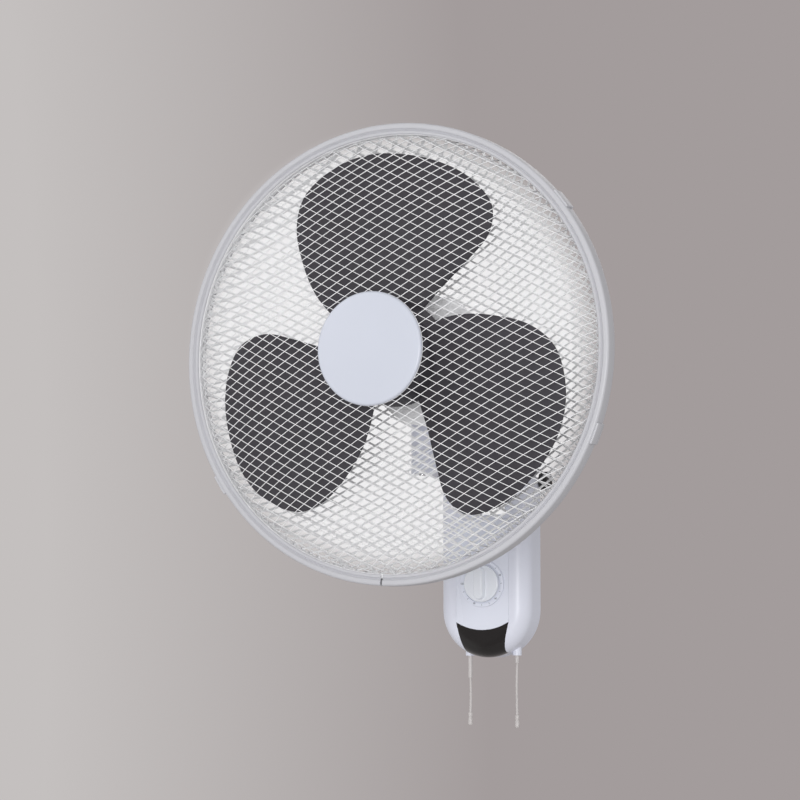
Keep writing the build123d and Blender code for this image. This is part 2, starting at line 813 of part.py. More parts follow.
with BuildPart() as neck_housing:
    with BuildSketch(Plane.XY.offset(tilt_height - 2 * tongue_round)) as neck_plan:
        with BuildLine():
            Polyline((-neck_half_width, -neck_front), (neck_half_width, -neck_front),
                     (neck_half_width, -neck_back), (tongue_half_width, -neck_waist),
                     (tongue_half_width, 0), (-tongue_half_width, 0),
                     (-tongue_half_width, -neck_waist), (-neck_half_width, -neck_back), close=True)
        make_face()
        fillet(neck_plan.vertices().group_by(Axis.Y)[0], neck_corner)
        fillet(neck_plan.vertices().filter_by_position(Axis.Y, -neck_back, -neck_back), neck_corner)
    extrude(amount=neck_top - tilt_height + 2 * tongue_round)
    with BuildSketch(side_view(0)):
        with BuildLine():
            Polyline((neck_front, neck_bottom), (neck_front, neck_top), (neck_back, neck_top),
                     (neck_waist, neck_slope_height), (tilt_reach, tilt_height + tongue_round),
                     (tilt_reach, tilt_height - tongue_round), (neck_back, neck_bottom), close=True)
        make_face()
        with Locations((tilt_reach, tilt_height)):
            Circle(tongue_round)
    extrude(amount=neck_half_width, both=True, mode=Mode.INTERSECT)
    fillet(neck_housing.faces().sort_by(Axis.Z)[-1].edges(), neck_edge)
    # pocket for the wiring and the post's nut, open below
    with BuildSketch(Plane.XY.offset(neck_bottom)):
        with Locations((0, -(neck_front + neck_back) / 2)):
            RectangleRounded(2 * (neck_half_width - neck_wall), neck_front - neck_back - 2 * neck_wall,
                             neck_corner - neck_wall)
    extrude(amount=neck_top - neck_bottom - neck_roof, mode=Mode.SUBTRACT)
    with BuildSketch(Plane.XY.offset(neck_bottom + neck_cover_thickness)):
        with Locations(*neck_screw_places):
            Circle(neck_boss_radius)
            Circle(neck_screw_radius + running_fit, mode=Mode.SUBTRACT)
    extrude(amount=neck_top - neck_bottom - neck_roof - neck_cover_thickness)
    # seat and hole for the swivel post
    with BuildSketch(Plane.XY.offset(neck_top - post_flange_thickness)):
        with Locations((0, -swivel_reach)):
            Circle(post_flange_radius + fit)
    extrude(amount=post_flange_thickness, mode=Mode.SUBTRACT)
    with BuildSketch(Plane.XY.offset(neck_top - neck_roof)):
        with Locations((0, -swivel_reach)):
            Circle(post_radius + running_fit)
    extrude(amount=neck_roof, mode=Mode.SUBTRACT)
    # bore for the tilt bolt
    with BuildSketch(side_view(neck_half_width)):
        with Locations((tilt_reach, tilt_height)):
            Circle(tilt_bolt_radius + running_fit)
    extrude(amount=2 * neck_half_width, mode=Mode.SUBTRACT)
keep(neck_housing, "neck_housing")

with BuildPart() as neck_cover:
    with BuildSketch(Plane.XY.offset(neck_bottom)):
        with Locations((0, -(neck_front + neck_back) / 2)):
            RectangleRounded(2 * (neck_half_width - neck_wall - fit),
                             neck_front - neck_back - 2 * (neck_wall + fit), neck_corner - neck_wall - fit)
        with Locations(*neck_screw_places):
            Circle(neck_screw_radius + running_fit, mode=Mode.SUBTRACT)
    extrude(amount=neck_cover_thickness)
keep(neck_cover, "neck_cover")

with BuildPart() as neck_screws:
    for radius, length in ((neck_screw_radius, neck_screw_length),
                           (neck_screw_head, -neck_head_thickness)):
        with BuildSketch(Plane.XY.offset(neck_bottom)):
            with Locations(*neck_screw_places):
                Circle(radius)
        extrude(amount=length)
keep(neck_screws, "neck_screws")

# ================================================================ swivel post and swing linkage
anchor_x = anchor_arm * cos(radians(anchor_angle))
anchor_y = -swivel_reach + anchor_arm * sin(radians(anchor_angle))
crank_y = -swivel_reach + crank_offset

with BuildPart() as swivel_post:
    with BuildSketch(Plane.XY.offset(neck_top - post_flange_thickness)):
        with Locations((0, -swivel_reach)):
            Circle(post_flange_radius)
    extrude(amount=post_flange_thickness)
    with BuildSketch(Plane.XY.offset(post_bottom)):
        with Locations((0, -swivel_reach)):
            Circle(post_radius)
    extrude(amount=post_top - post_bottom)
    with BuildSketch(Plane.XY.offset(neck_top - post_flange_thickness)):
        with Locations((anchor_x, anchor_y)):
            Circle(anchor_radius)
    extrude(amount=anchor_top - neck_top + post_flange_thickness)
    with BuildSketch(Plane.XY.offset(post_bottom)):
        with Locations((0, -swivel_reach)):
            Circle(post_bore)
    extrude(amount=post_top - post_bottom, mode=Mode.SUBTRACT)
keep(swivel_post, "swivel_post")

with BuildPart() as post_nut:
    with BuildSketch(Plane.XY.offset(neck_top - neck_roof - post_nut_thickness)):
        with Locations((0, -swivel_reach)):
            RegularPolygon(post_nut_radius, 6)
            Circle(post_radius, mode=Mode.SUBTRACT)
    extrude(amount=post_nut_thickness)
keep(post_nut, "post_nut")

with BuildPart() as post_clip:
    with BuildSketch(Plane.XY.offset(boss_top + fit)):
        with Locations((0, -swivel_reach)):
            Circle(clip_outer_radius)
            Circle(post_radius, mode=Mode.SUBTRACT)
    extrude(amount=clip_thickness)
keep(post_clip, "post_clip")

with BuildPart() as swing_link:
    span = hypot(crank_arm - anchor_x, crank_y - anchor_y)
    link_plane = Plane(origin=(anchor_x, anchor_y, link_height),
                       x_dir=(crank_arm - anchor_x, crank_y - anchor_y, 0), z_dir=(0, 0, 1))
    with BuildSketch(link_plane):
        with Locations((span / 2, 0)):
            Rectangle(span, 2 * link_half_width)
        Circle(link_eye_radius)
        Circle(anchor_radius + running_fit, mode=Mode.SUBTRACT)
        with Locations((span, 0)):
            Circle(link_open_eye_radius)
            Circle(crank_pin_radius + open_eye_clearance, mode=Mode.SUBTRACT)
    extrude(amount=link_thickness)
keep(swing_link, "swing_link")

crank_bottom = link_height + link_thickness + side_gap

with BuildPart() as swing_crank:
    with BuildSketch(Plane.XY.offset(crank_bottom)):
        with Locations((0, crank_y)):
            Circle(crank_radius)
    extrude(amount=crank_thickness)
    with BuildSketch(Plane.XY.offset(link_height - side_gap)):
        with Locations((crank_arm, crank_y)):
            Circle(crank_pin_radius)
    extrude(amount=crank_bottom - link_height + side_gap)
    with BuildSketch(Plane.XY.offset(crank_bottom + crank_thickness)):
        with Locations((0, crank_y)):
            Circle(crank_shaft_radius)
    extrude(amount=crank_shaft_length)
keep(swing_crank, "swing_crank")

swing_motor_bottom = crank_bottom + crank_thickness + turn_gap

with BuildPart() as swing_motor:
    with BuildSketch(Plane.XY.offset(swing_motor_bottom)):
        with Locations((0, crank_y)):
            Circle(swing_motor_radius)
            Circle(crank_shaft_radius + running_fit, mode=Mode.SUBTRACT)
    extrude(amount=swing_motor_height)
keep(swing_motor, "swing_motor")

shelf_bottom = swing_motor_bottom + swing_motor_height
shelf_front = swivel_reach - boss_outer_radius - turn_gap
shelf_back = swivel_reach - crank_offset - swing_motor_radius

with BuildPart() as swivel_bracket:
    with BuildSketch(facing(bracket_plate_reach - bracket_plate_thickness)):
        with Locations((0, (boss_bottom + shelf_bottom + shelf_thickness) / 2)):
            Rectangle(2 * bracket_half_width, shelf_bottom + shelf_thickness - boss_bottom)
    extrude(amount=bracket_plate_thickness)
    with BuildSketch(Plane.XY.offset(boss_bottom)):
        with Locations((0, -swivel_reach)):
            Circle(boss_outer_radius)
    extrude(amount=boss_top - boss_bottom)
    with BuildSketch(Plane.XY.offset(shelf_bottom)):
        with Locations((0, -(shelf_front + shelf_back) / 2)):
            Rectangle(2 * bracket_half_width, shelf_front - shelf_back)
    extrude(amount=shelf_thickness)
    with BuildSketch(Plane.XY.offset(boss_top - bracket_rib_lap)):
        with Locations((0, -(bracket_plate_reach + shelf_front) / 2 + bracket_rib_lap)):
            with GridLocations(2 * bracket_half_width - bracket_rib, 1, 2, 1):
                Rectangle(bracket_rib, bracket_plate_reach - shelf_front + 2 * bracket_rib_lap)
    extrude(amount=shelf_bottom + shelf_thickness - boss_top + bracket_rib_lap)
    with BuildSketch(Plane.XY.offset(boss_bottom)):
        with Locations((0, -swivel_reach)):
            Circle(post_radius + running_fit)
    extrude(amount=boss_top - boss_bottom, mode=Mode.SUBTRACT)
keep(swivel_bracket, "swivel_bracket")

# ================================================================ motor
bell_radius = casing_radius - casing_shell - fit

with BuildPart() as motor_front_bell:
    with BuildSketch(turning(motor_face_reach)):
        with BuildLine():
            Polyline((bearing_radius, nose_boss_length), (nose_boss_radius, nose_boss_length),
                     (nose_boss_radius, 0), (bell_radius, 0), (bell_radius, -front_bell_depth),
                     (stator_outer_radius, -front_bell_depth), (stator_outer_radius, -bell_wall),
                     (bearing_radius, -bell_wall), close=True)
        make_face()
    revolve(axis=fan_axis)
    with BuildSketch(facing(motor_face_reach, fan_height)):
        with PolarLocations(motor_screw_circle, motor_screw_count, start_angle=45):
            Circle(motor_screw_radius + running_fit)
    extrude(amount=-bell_wall, mode=Mode.SUBTRACT)
keep(motor_front_bell, "motor_front_bell")

with BuildPart() as motor_rear_bell:
    with BuildSketch(turning(rear_bell_back)):
        with BuildLine():
            Polyline((bearing_radius, 0), (bell_radius, 0), (bell_radius, rear_bell_front - rear_bell_back),
                     (stator_outer_radius, rear_bell_front - rear_bell_back),
                     (stator_outer_radius, bell_wall), (rear_boss_radius, bell_wall),
                     (rear_boss_radius, rear_bearing_length), (bearing_radius, rear_bearing_length),
                     close=True)
        make_face()
    revolve(axis=fan_axis)
    with BuildSketch(facing(rear_bell_back, fan_height)):
        with PolarLocations(motor_screw_circle, motor_screw_count, start_angle=45):
            Circle(motor_screw_radius + running_fit)
    extrude(amount=bell_wall, mode=Mode.SUBTRACT)
    with BuildSketch(Plane.XY.offset(neck_top)):
        with Locations((0, -swivel_reach)):
            Circle(anchor_arm + link_eye_radius + turn_gap)
    extrude(amount=anchor_top + turn_gap - neck_top, mode=Mode.SUBTRACT)
keep(motor_rear_bell, "motor_rear_bell")

with BuildPart() as front_bearing:
    add(ring_of(facing(motor_face_reach - bell_wall, fan_height), bearing_radius,
                shaft_radius + running_fit, bearing_length))
keep(front_bearing, "front_bearing")

with BuildPart() as rear_bearing:
    add(ring_of(facing(rear_bell_back, fan_height), bearing_radius,
                shaft_radius + running_fit, rear_bearing_length))
keep(rear_bearing, "rear_bearing")

with BuildPart() as stator_core:
    with BuildSketch(facing(stator_back, fan_height)):
        Circle(stator_outer_radius)
        Circle(stator_inner_radius, mode=Mode.SUBTRACT)
        with PolarLocations((stator_inner_radius + winding_outer_radius) / 2, slot_count):
            Rectangle(slot_length, slot_width, mode=Mode.SUBTRACT)
    extrude(amount=stator_front - stator_back)
keep(stator_core, "stator_core")

with BuildPart() as stator_windings:
    for plane, way in ((facing(stator_front, fan_height), 1), (facing(stator_back, fan_height), -1)):
        with BuildSketch(plane):
            Circle(winding_outer_radius)
            Circle(winding_inner_radius, mode=Mode.SUBTRACT)
        extrude(amount=way * winding_length)
    fillet(stator_windings.edges().filter_by(GeomType.CIRCLE).group_by(Axis.Y)[0], winding_round)
    fillet(stator_windings.edges().filter_by(GeomType.CIRCLE).group_by(Axis.Y)[-1], winding_round)
keep(stator_windings, "stator_windings")

with BuildPart() as rotor_core:
    add(ring_of(facing(stator_back, fan_height), stator_inner_radius - rotor_gap, shaft_radius,
                stator_front - stator_back))
keep(rotor_core, "rotor_core")

with BuildPart() as motor_casing:
    with BuildSketch(turning()):
        with BuildLine():
            outer_corner = (casing_radius, casing_back + casing_back_round)
            Line((0, casing_back), (casing_radius - casing_back_round, casing_back))
            RadiusArc((casing_radius - casing_back_round, casing_back), outer_corner,
                      -casing_back_round)
            Polyline(outer_corner, (casing_radius, casing_front), (0, casing_front), (0, casing_back))
        make_face()
    revolve(axis=fan_axis)
    offset(amount=-casing_shell, openings=motor_casing.faces().sort_by(Axis.Y)[0])
    with BuildSketch(facing(casing_back, fan_height)):
        with GridLocations(2 * vent_width, 1, casing_vents, 1):
            SlotOverall(vent_length, vent_width, rotation=90)
    extrude(amount=casing_shell, mode=Mode.SUBTRACT)
    with BuildSketch(Plane.XY.offset(neck_top)):
        with Locations((0, -swivel_reach)):
            Circle(post_opening_radius)
    extrude(amount=casing_radius / 2, mode=Mode.SUBTRACT)
keep(motor_casing, "motor_casing")

with BuildPart() as motor_screws:
    for reach, way in ((motor_face_reach - bell_wall, 1), (rear_bell_back + bell_wall, -1)):
        with BuildSketch(facing(reach, fan_height)):
            with PolarLocations(motor_screw_circle, motor_screw_count, start_angle=45):
                Circle(motor_screw_radius)
        extrude(amount=way * bell_wall)
keep(motor_screws, "motor_screws")

# ================================================================ guards


def dome_profile(radius, height, inner_radius):
    """Points of a guard's dome from its rim to an inner radius: a rounded superellipse."""
    last = (inner_radius / radius) ** (dome_width_power / 2)
    points = []
    for step in range(dome_steps + 1):
        across = 1 - (1 - last) * step / dome_steps
        rise = sqrt(max(0.0, 1 - across ** 2))
        points.append((radius * across ** (2 / dome_width_power),
                       height * rise ** (2 * dome_height_power)))
    return points


def net_places(reach_out):
    """Centres of the net's diamonds, row by row, each second row shifted by half a cell."""
    places = []
    rows = int(reach_out / (net_cell_height / 2)) + 1
    columns = int(reach_out / net_cell_width) + 1
    for row in range(-rows, rows + 1):
        shift = 0.5 * net_cell_width * (row % 2)
        for column in range(-columns, columns + 1):
            place = (column * net_cell_width + shift, row * net_cell_height / 2)
            if hypot(*place) < reach_out + net_cell_width / 2:
                places.append(place)
    return places


def net_dome(height, way, inner_radius, plain_radius):
    """Domed net: a thin dome with diamond gaps between its rim and its plain centre."""
    outer = dome_profile(guard_radius, height, inner_radius)
    inner = dome_profile(guard_radius - net_thickness, height - net_thickness, inner_radius)
    widest = net_cell_width / 2 - net_strand
    tallest = net_cell_height / 2 - net_strand * net_cell_height / net_cell_width
    places = net_places(rim_inner_radius)
    with BuildPart() as dome:
        with BuildSketch(Plane(origin=(0, -ring_reach, fan_height), x_dir=(1, 0, 0), z_dir=(0, 0, -way))):
            with BuildLine():
                Spline(*outer)
                Line(outer[-1], inner[-1])
                Spline(*inner)
                Line(inner[0], outer[0])
            make_face()
        revolve(axis=fan_axis)
        with BuildSketch(facing(ring_reach, fan_height)):
            with Locations(*places):
                Polygon((-widest, 0), (0, -tallest), (widest, 0), (0, tallest))
            Circle(rim_inner_radius, mode=Mode.INTERSECT)
            Circle(plain_radius + net_centre_margin, mode=Mode.SUBTRACT)
        extrude(amount=way * (height + 1), mode=Mode.SUBTRACT)
    return dome.part


# flat rims of the two guards, clamped in the channel of the ring
rim_radius = ring_radius - ring_wall - side_gap
rim_thickness = ring_depth / 2 - ring_wall - rim_gap / 2 - fit

front_net = net_dome(front_dome, 1, front_disc_radius, cap_radius)
front_centre = dome_profile(guard_radius, front_dome, front_disc_radius)[-1][1]
rear_centre = ring_reach - motor_face_reach - fit
rear_dome = rear_centre / dome_profile(guard_radius, 1, rear_net_radius)[-1][1]
rear_net = net_dome(rear_dome, -1, rear_net_radius, rear_plate_radius)

with BuildPart() as front_guard:
    add(front_net)
    add(ring_of(facing(ring_reach + rim_gap / 2, fan_height), rim_radius, rim_inner_radius,
                rim_thickness))
    add(ring_of(facing(ring_reach + front_centre - net_thickness, fan_height),
                front_disc_radius + 1, 0, net_thickness))
keep(front_guard, "front_guard")

with BuildPart() as rear_guard:
    add(rear_net)
    add(ring_of(facing(ring_reach - rim_gap / 2, fan_height), rim_radius, rim_inner_radius,
                -rim_thickness))
    add(ring_of(facing(motor_face_reach, fan_height), rear_plate_radius,
                nose_boss_radius + fit, plate_sheet))
keep(rear_guard, "rear_guard")

with BuildPart() as guard_nut:
    with BuildSketch(facing(motor_face_reach + plate_sheet, fan_height)):
        Circle(nut_radius)
        with PolarLocations(nut_radius + nut_grip_radius / 2, nut_grips):
            Circle(nut_grip_radius, mode=Mode.SUBTRACT)
        Circle(nose_boss_radius, mode=Mode.SUBTRACT)
    extrude(amount=nut_length)
keep(guard_nut, "guard_nut")

# ================================================================ trim ring, clips and cap
split_direction = radians(ring_split_angle)
lug_x = lug_radius * cos(split_direction)
lug_z = fan_height + lug_radius * sin(split_direction)
lug_back = ring_reach - ring_depth / 2
split_plane = Plane(origin=(lug_x, -lug_back, lug_z), z_dir=(0, 1, 0),
                    x_dir=(cos(split_direction), 0, sin(split_direction)))

with BuildPart() as trim_ring:
    with BuildSketch(turning(ring_reach)) as ring_section:
        with Locations((ring_radius - ring_width / 2, 0)):
            Rectangle(ring_width, ring_depth)
        fillet(ring_section.vertices().group_by(Axis.X)[-1], ring_round)
        with Locations((ring_radius - ring_wall - ring_width / 2, 0)):
            Rectangle(ring_width, ring_depth - 2 * ring_wall, mode=Mode.SUBTRACT)
    revolve(axis=fan_axis)
    with BuildSketch(split_plane):
        RectangleRounded(2 * lug_half_width, 2 * lug_length + ring_split_width, lug_corner)
    extrude(amount=2 * lug_half_width)
    with BuildSketch(split_plane):
        Rectangle(3 * ring_width, ring_split_width)
    extrude(amount=ring_depth, both=True, mode=Mode.SUBTRACT)
    with BuildSketch(Plane(origin=(lug_x, -lug_back + lug_half_width, lug_z),
                           z_dir=(-sin(split_direction), 0, cos(split_direction)))):
        Circle(ring_screw_radius + running_fit)
    extrude(amount=lug_length + ring_split_width, both=True, mode=Mode.SUBTRACT)
keep(trim_ring, "trim_ring")

with BuildPart() as ring_screw:
    with BuildSketch(Plane(origin=(lug_x, -lug_back + lug_half_width, lug_z),
                           z_dir=(-sin(split_direction), 0, cos(split_direction)))):
        Circle(ring_screw_radius)
    extrude(amount=lug_length + ring_split_width / 2, both=True)
keep(ring_screw, "ring_screw")

with BuildPart() as ring_clips:
    half_arc = degrees(ring_clip_length / 2 / ring_radius)
    for clip_angle in clip_angles:
        with BuildSketch(turning(ring_reach, clip_angle - half_arc)):
            with Locations((ring_radius + ring_clip_thickness / 2, 0)):
                RectangleRounded(ring_clip_thickness, ring_clip_depth, ring_clip_corner)
        revolve(axis=fan_axis, revolution_arc=2 * half_arc)
keep(ring_clips, "ring_clips")

with BuildPart() as hub_cap:
    cap_back = front_centre + fit
    cap_front = cap_reach - ring_reach
    with BuildSketch(turning(ring_reach)):
        with BuildLine():
            shoulder = (cap_radius - cap_edge, cap_front - cap_crown)
            Line((0, cap_back), (cap_radius, cap_back))
            ThreePointArc((cap_radius, cap_back),
                          (cap_radius - 0.3 * cap_edge, cap_front - cap_crown - 0.3 * cap_edge), shoulder)
            TangentArc(shoulder, (0, cap_front), tangent=(cap_radius, 2 * cap_crown),
                       tangent_from_first=False)
            Line((0, cap_front), (0, cap_back))
        make_face()
    revolve(axis=fan_axis)
keep(hub_cap, "hub_cap")

# ================================================================ fan blades and shaft
with BuildPart() as blade_sheet:
    for section in range(blade_sections):
        turn = blade_turn_back + (blade_turn_front - blade_turn_back) * section / (blade_sections - 1)
        with BuildSketch(turning(ring_reach, 90 + turn)):
            with Locations(((blade_root_radius + blade_sheet_radius) / 2,
                            blade_plane + blade_rise * radians(turn))):
                Rectangle(blade_sheet_radius - blade_root_radius, blade_thickness)
    loft()

with BuildPart() as blade:
    with BuildSketch(facing(ring_reach - base_depth, fan_height)):
        with BuildLine():
            edge = [(r * cos(radians(90 + turn)), r * sin(radians(90 + turn))) for r, turn in blade_edge]
            Spline(*edge)
            Line(edge[-1], edge[0])
        make_face()
    extrude(amount=2 * base_depth)
    add(blade_sheet.part, mode=Mode.INTERSECT)

with BuildPart() as fan_blade:
    with BuildSketch(turning(ring_reach)):
        with BuildLine():
            bore = shaft_radius + running_fit
            Polyline((hub_radius, -hub_back), (hub_radius, hub_front - hub_round))
            RadiusArc((hub_radius, hub_front - hub_round), (hub_radius - hub_round, hub_front), -hub_round)
            Polyline((hub_radius - hub_round, hub_front), (bore, hub_front), (bore, hub_boss_back),
                     (hub_boss_radius, hub_boss_back), (hub_boss_radius, hub_front - hub_wall),
                     (hub_radius - hub_wall, hub_front - hub_wall), (hub_radius - hub_wall, -hub_back),
                     (hub_radius, -hub_back))
        make_face()
    revolve(axis=fan_axis)
    for number in range(blade_count):
        add(blade.part.rotate(fan_axis, 360 / blade_count * number))
    with BuildSketch(facing(ring_reach + hub_boss_back, fan_height)):
        Rectangle(2 * hub_boss_radius + 2, 2 * (drive_pin_radius + fit))
    extrude(amount=2 * (drive_pin_radius + fit), mode=Mode.SUBTRACT)
keep(fan_blade, "fan_blade")

pin_reach = ring_reach + hub_boss_back + drive_pin_radius + fit

with BuildPart() as drive_pin:
    with BuildSketch(side_view(drive_pin_half_length)):
        with Locations((pin_reach, fan_height)):
            Circle(drive_pin_radius)
    extrude(amount=2 * drive_pin_half_length)
keep(drive_pin, "drive_pin")

shaft_end = ring_reach + hub_front + blade_nut_length - blade_nut_cover

with BuildPart() as rotor_shaft:
    with BuildSketch(facing(shaft_back_reach, fan_height)):
        Circle(shaft_radius)
    extrude(amount=shaft_end - shaft_back_reach)
    with BuildSketch(side_view(shaft_radius)):
        with Locations((pin_reach, fan_height)):
            Circle(drive_pin_radius)
    extrude(amount=2 * shaft_radius, mode=Mode.SUBTRACT)
keep(rotor_shaft, "rotor_shaft")

with BuildPart() as blade_nut:
    with BuildSketch(facing(ring_reach + hub_front, fan_height)):
        Circle(blade_nut_radius)
        with PolarLocations(blade_nut_radius + blade_nut_grip_radius / 3, blade_nut_grips):
            Circle(blade_nut_grip_radius, mode=Mode.SUBTRACT)
    extrude(amount=blade_nut_length, taper=blade_nut_draft)
    with BuildSketch(facing(ring_reach + hub_front, fan_height)):
        Circle(shaft_radius)
    extrude(amount=blade_nut_length - blade_nut_cover, mode=Mode.SUBTRACT)
keep(blade_nut, "blade_nut")
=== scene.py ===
"""Finished surfaces of a wall mounted fan, built round its packed construction."""

import json
import math

import bmesh
import bpy
from bpy.props import FloatProperty, FloatVectorProperty, IntProperty, PointerProperty
from mathutils import Matrix, Vector
from mathutils.geometry import interpolate_bezier


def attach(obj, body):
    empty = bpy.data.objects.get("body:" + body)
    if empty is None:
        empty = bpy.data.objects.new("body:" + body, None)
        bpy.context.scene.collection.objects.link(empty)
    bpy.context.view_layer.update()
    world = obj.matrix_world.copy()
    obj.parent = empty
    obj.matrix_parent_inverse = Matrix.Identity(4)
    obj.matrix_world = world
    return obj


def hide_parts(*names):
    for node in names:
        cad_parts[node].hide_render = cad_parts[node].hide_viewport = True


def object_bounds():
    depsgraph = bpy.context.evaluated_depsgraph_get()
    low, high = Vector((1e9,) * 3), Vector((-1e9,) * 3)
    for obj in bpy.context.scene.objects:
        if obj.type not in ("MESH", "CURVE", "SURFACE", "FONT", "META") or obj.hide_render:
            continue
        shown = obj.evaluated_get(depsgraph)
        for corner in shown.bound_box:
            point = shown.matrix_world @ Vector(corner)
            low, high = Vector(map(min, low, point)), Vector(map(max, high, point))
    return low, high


bl_info = {
    "name": "Wall Fan",
    "version": (1, 0, 0),
    "blender": (4, 5, 0),
    "location": "View3D > Sidebar > Wall Fan",
    "description": "Builds the finished surfaces of a wall mounted fan",
    "category": "Object",
}

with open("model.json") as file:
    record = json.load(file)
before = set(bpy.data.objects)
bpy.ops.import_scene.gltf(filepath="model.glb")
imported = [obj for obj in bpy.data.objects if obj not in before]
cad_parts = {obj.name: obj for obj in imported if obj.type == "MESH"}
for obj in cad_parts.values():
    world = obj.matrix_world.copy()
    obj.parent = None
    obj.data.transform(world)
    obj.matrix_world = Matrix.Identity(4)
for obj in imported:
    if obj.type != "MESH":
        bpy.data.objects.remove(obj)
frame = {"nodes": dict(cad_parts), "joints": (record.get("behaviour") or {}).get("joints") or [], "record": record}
CAD_LOW, CAD_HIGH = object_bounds()

MM = 0.001
FULL_TURN = 2 * math.pi
UP = Vector((0, 0, 1))
FORWARD = Vector((0, -1, 0))


def joint_place(name):
    """Point that a joint turns about."""
    return next(Vector(joint["pos_m"]) for joint in frame["joints"] if joint["name"] == name)


def srgb(red, green, blue):
    """Scene linear colour of a display colour given from 0 to 255."""
    shares = [channel / 255 for channel in (red, green, blue)]
    return [s / 12.92 if s <= 0.04045 else ((s + 0.055) / 1.055) ** 2.4 for s in shares]


# The fan axis runs along Y. FAN is its crossing with the plane where the two guards meet.
FAN = joint_place("blade_spin")
DIAL = joint_place("timer_turn")


# ------------------------------------------------------------------ properties
def length(name, description, millimetres):
    """Length property with its default in millimetres."""
    return FloatProperty(name=name, description=description, default=millimetres * MM,
                         min=0, precision=5, subtype="DISTANCE", unit="LENGTH")


def rotation(name, description, degrees):
    """Angle property with its default in degrees."""
    return FloatProperty(name=name, description=description, default=math.radians(degrees),
                         subtype="ANGLE", unit="ROTATION")


def colour(name, description, red, green, blue):
    """Colour property with its default as a display colour."""
    return FloatVectorProperty(name=name, description=description, size=3, min=0, max=1,
                               subtype="COLOR", default=srgb(red, green, blue))


class WallFanGuardSizes(bpy.types.PropertyGroup):
    """Sizes of the two mesh guards."""

    dome_radius: length("Dome radius", "Radius of both domes where they enter the ring", 204)
    front_dome: length("Front dome", "How far the front dome stands out", 56)
    rear_dome: length("Rear dome", "How far the rear dome would reach back without its plate",
                      74.9)
    width_power: FloatProperty(name="Shoulder", description="How square the domes' shoulders are",
                               default=2.6, min=1, max=6)
    height_power: FloatProperty(name="Crown", description="How full the domes are",
                                default=0.55, min=0.3, max=1)
    gap_width: length("Gap width", "Width of one diamond of the mesh", 16.2)
    gap_height: length("Gap height", "Height of one diamond of the mesh", 9.1)
    front_strand: length("Front strand", "Width of a strand of the front mesh", 0.48)
    rear_strand: length("Rear strand", "Width of a strand of the rear mesh", 1.9)
    sheet: length("Sheet", "Thickness of the mesh", 0.8)
    roll: rotation("Roll", "Turn of the mesh about the fan axis", 2)
    rim_inner: length("Rim inside", "Inner radius of the guards' folded rims", 203.8)
    rim_outer: length("Rim outside", "Outer radius of the guards' folded rims", 208.4)
    rim_depth: length("Rim depth", "Depth of a folded rim", 5.6)
    rim_gap: length("Rim gap", "Half of the gap between the two rims", 0.3)
    rim_round: length("Rim rounding", "Rounding of a folded rim's edges", 1.2)
    plate_radius: length("Plate radius", "Radius of the rear guard's centre plate", 62)
    plate_hole: length("Plate hole", "Radius of the hole in the centre plate", 13.4)
    plate_back: length("Plate place", "Back of the centre plate, behind the ring plane", 73.3)
    plate_sheet: length("Plate sheet", "Thickness of the centre plate", 1.4)
    bead_place: length("Bead place", "Centre plate's edge to the middle of its bead", 11)
    bead_half: length("Bead half", "Half of the bead's width", 3)
    bead_rise: length("Bead rise", "How far the bead stands out", 1.2)
    disc_radius: length("Disc radius", "Radius of the front guard's centre disc", 52.6)
    disc_sheet: length("Disc sheet", "Thickness of that disc", 1.2)
    net_lap: length("Net lap", "How far the nets reach under the disc and the plate", 2)


class WallFanBladeSizes(bpy.types.PropertyGroup):
    """Sizes of the blade wheel."""

    blades: IntProperty(name="Blades", description="Number of blades", default=3, min=2, max=8)
    plane: length("Plane", "Blade's middle, ahead of the ring plane", 12)
    rise: length("Rise", "Forward travel of a blade for each radian round", 26)
    thickness: length("Thickness", "Thickness of a blade", 2.4)
    hub_radius: length("Hub radius", "Outer radius of the hub", 49)
    hub_front: length("Hub front", "Front of the hub, ahead of the ring plane", 40)
    hub_back: length("Hub back", "Back of the hub, behind the ring plane", 4)
    hub_wall: length("Hub wall", "Wall of the hub", 3)
    hub_round: length("Hub round", "Rounding of the hub's front edge", 6)
    bore: length("Bore", "Radius of the shaft's bore", 4.05)
    boss: length("Boss", "Radius of the boss round the shaft", 10)
    boss_back: length("Boss back", "Back of the boss, ahead of the ring plane", 10.2)
    ribs: IntProperty(name="Ribs", description="Ribs inside the hub", default=6, min=0, max=24)
    rib_thickness: length("Rib thickness", "Thickness of a rib", 1.8)
    rib_lap: length("Rib lap", "How far a rib reaches into the boss and the wall", 0.5)


class WallFanRingSizes(bpy.types.PropertyGroup):
    """Sizes of the hoop round both guards."""

    radius: length("Radius", "Outer radius of the hoop", 215)
    width: length("Width", "Width of the hoop, outside to inside", 10.6)
    depth: length("Depth", "Depth of the hoop, front to back", 17)
    wall: length("Wall", "Wall of the hoop", 2.2)
    corner: length("Corner", "Rounding of the outer corners", 2.4)
    edge: length("Edge", "Rounding of the small edges", 0.8)
    step: length("Step", "How far the inner band lies below the hoop's front", 0.9)
    seam_radius: length("Seam place", "Radius of the groove in the front", 208.2)
    seam: length("Seam", "Width of the groove", 2.2)
    seam_depth: length("Seam depth", "Depth of the groove", 2.1)
    split: length("Split", "Gap between the hoop's two ends", 2)
    split_angle: rotation("Split place", "Anticlockwise from the right", 267)
    lug_radius: length("Lug place", "Radius of the middle of the lugs", 208.5)
    lug_width: length("Lug width", "Width of a lug", 7)
    lug_length: length("Lug length", "Length of a lug along the hoop", 6)
    lug_hole: length("Lug hole", "Radius of the screw hole", 1.55)
    clip_length: length("Clip length", "Length of a clip along the hoop", 20)
    clip_depth: length("Clip depth", "Depth of a clip, front to back", 15)
    clip_rise: length("Clip rise", "How far a clip stands off the hoop", 1.8)
    clip_sink: length("Clip sink", "How deep a clip sits in the hoop", 0.4)


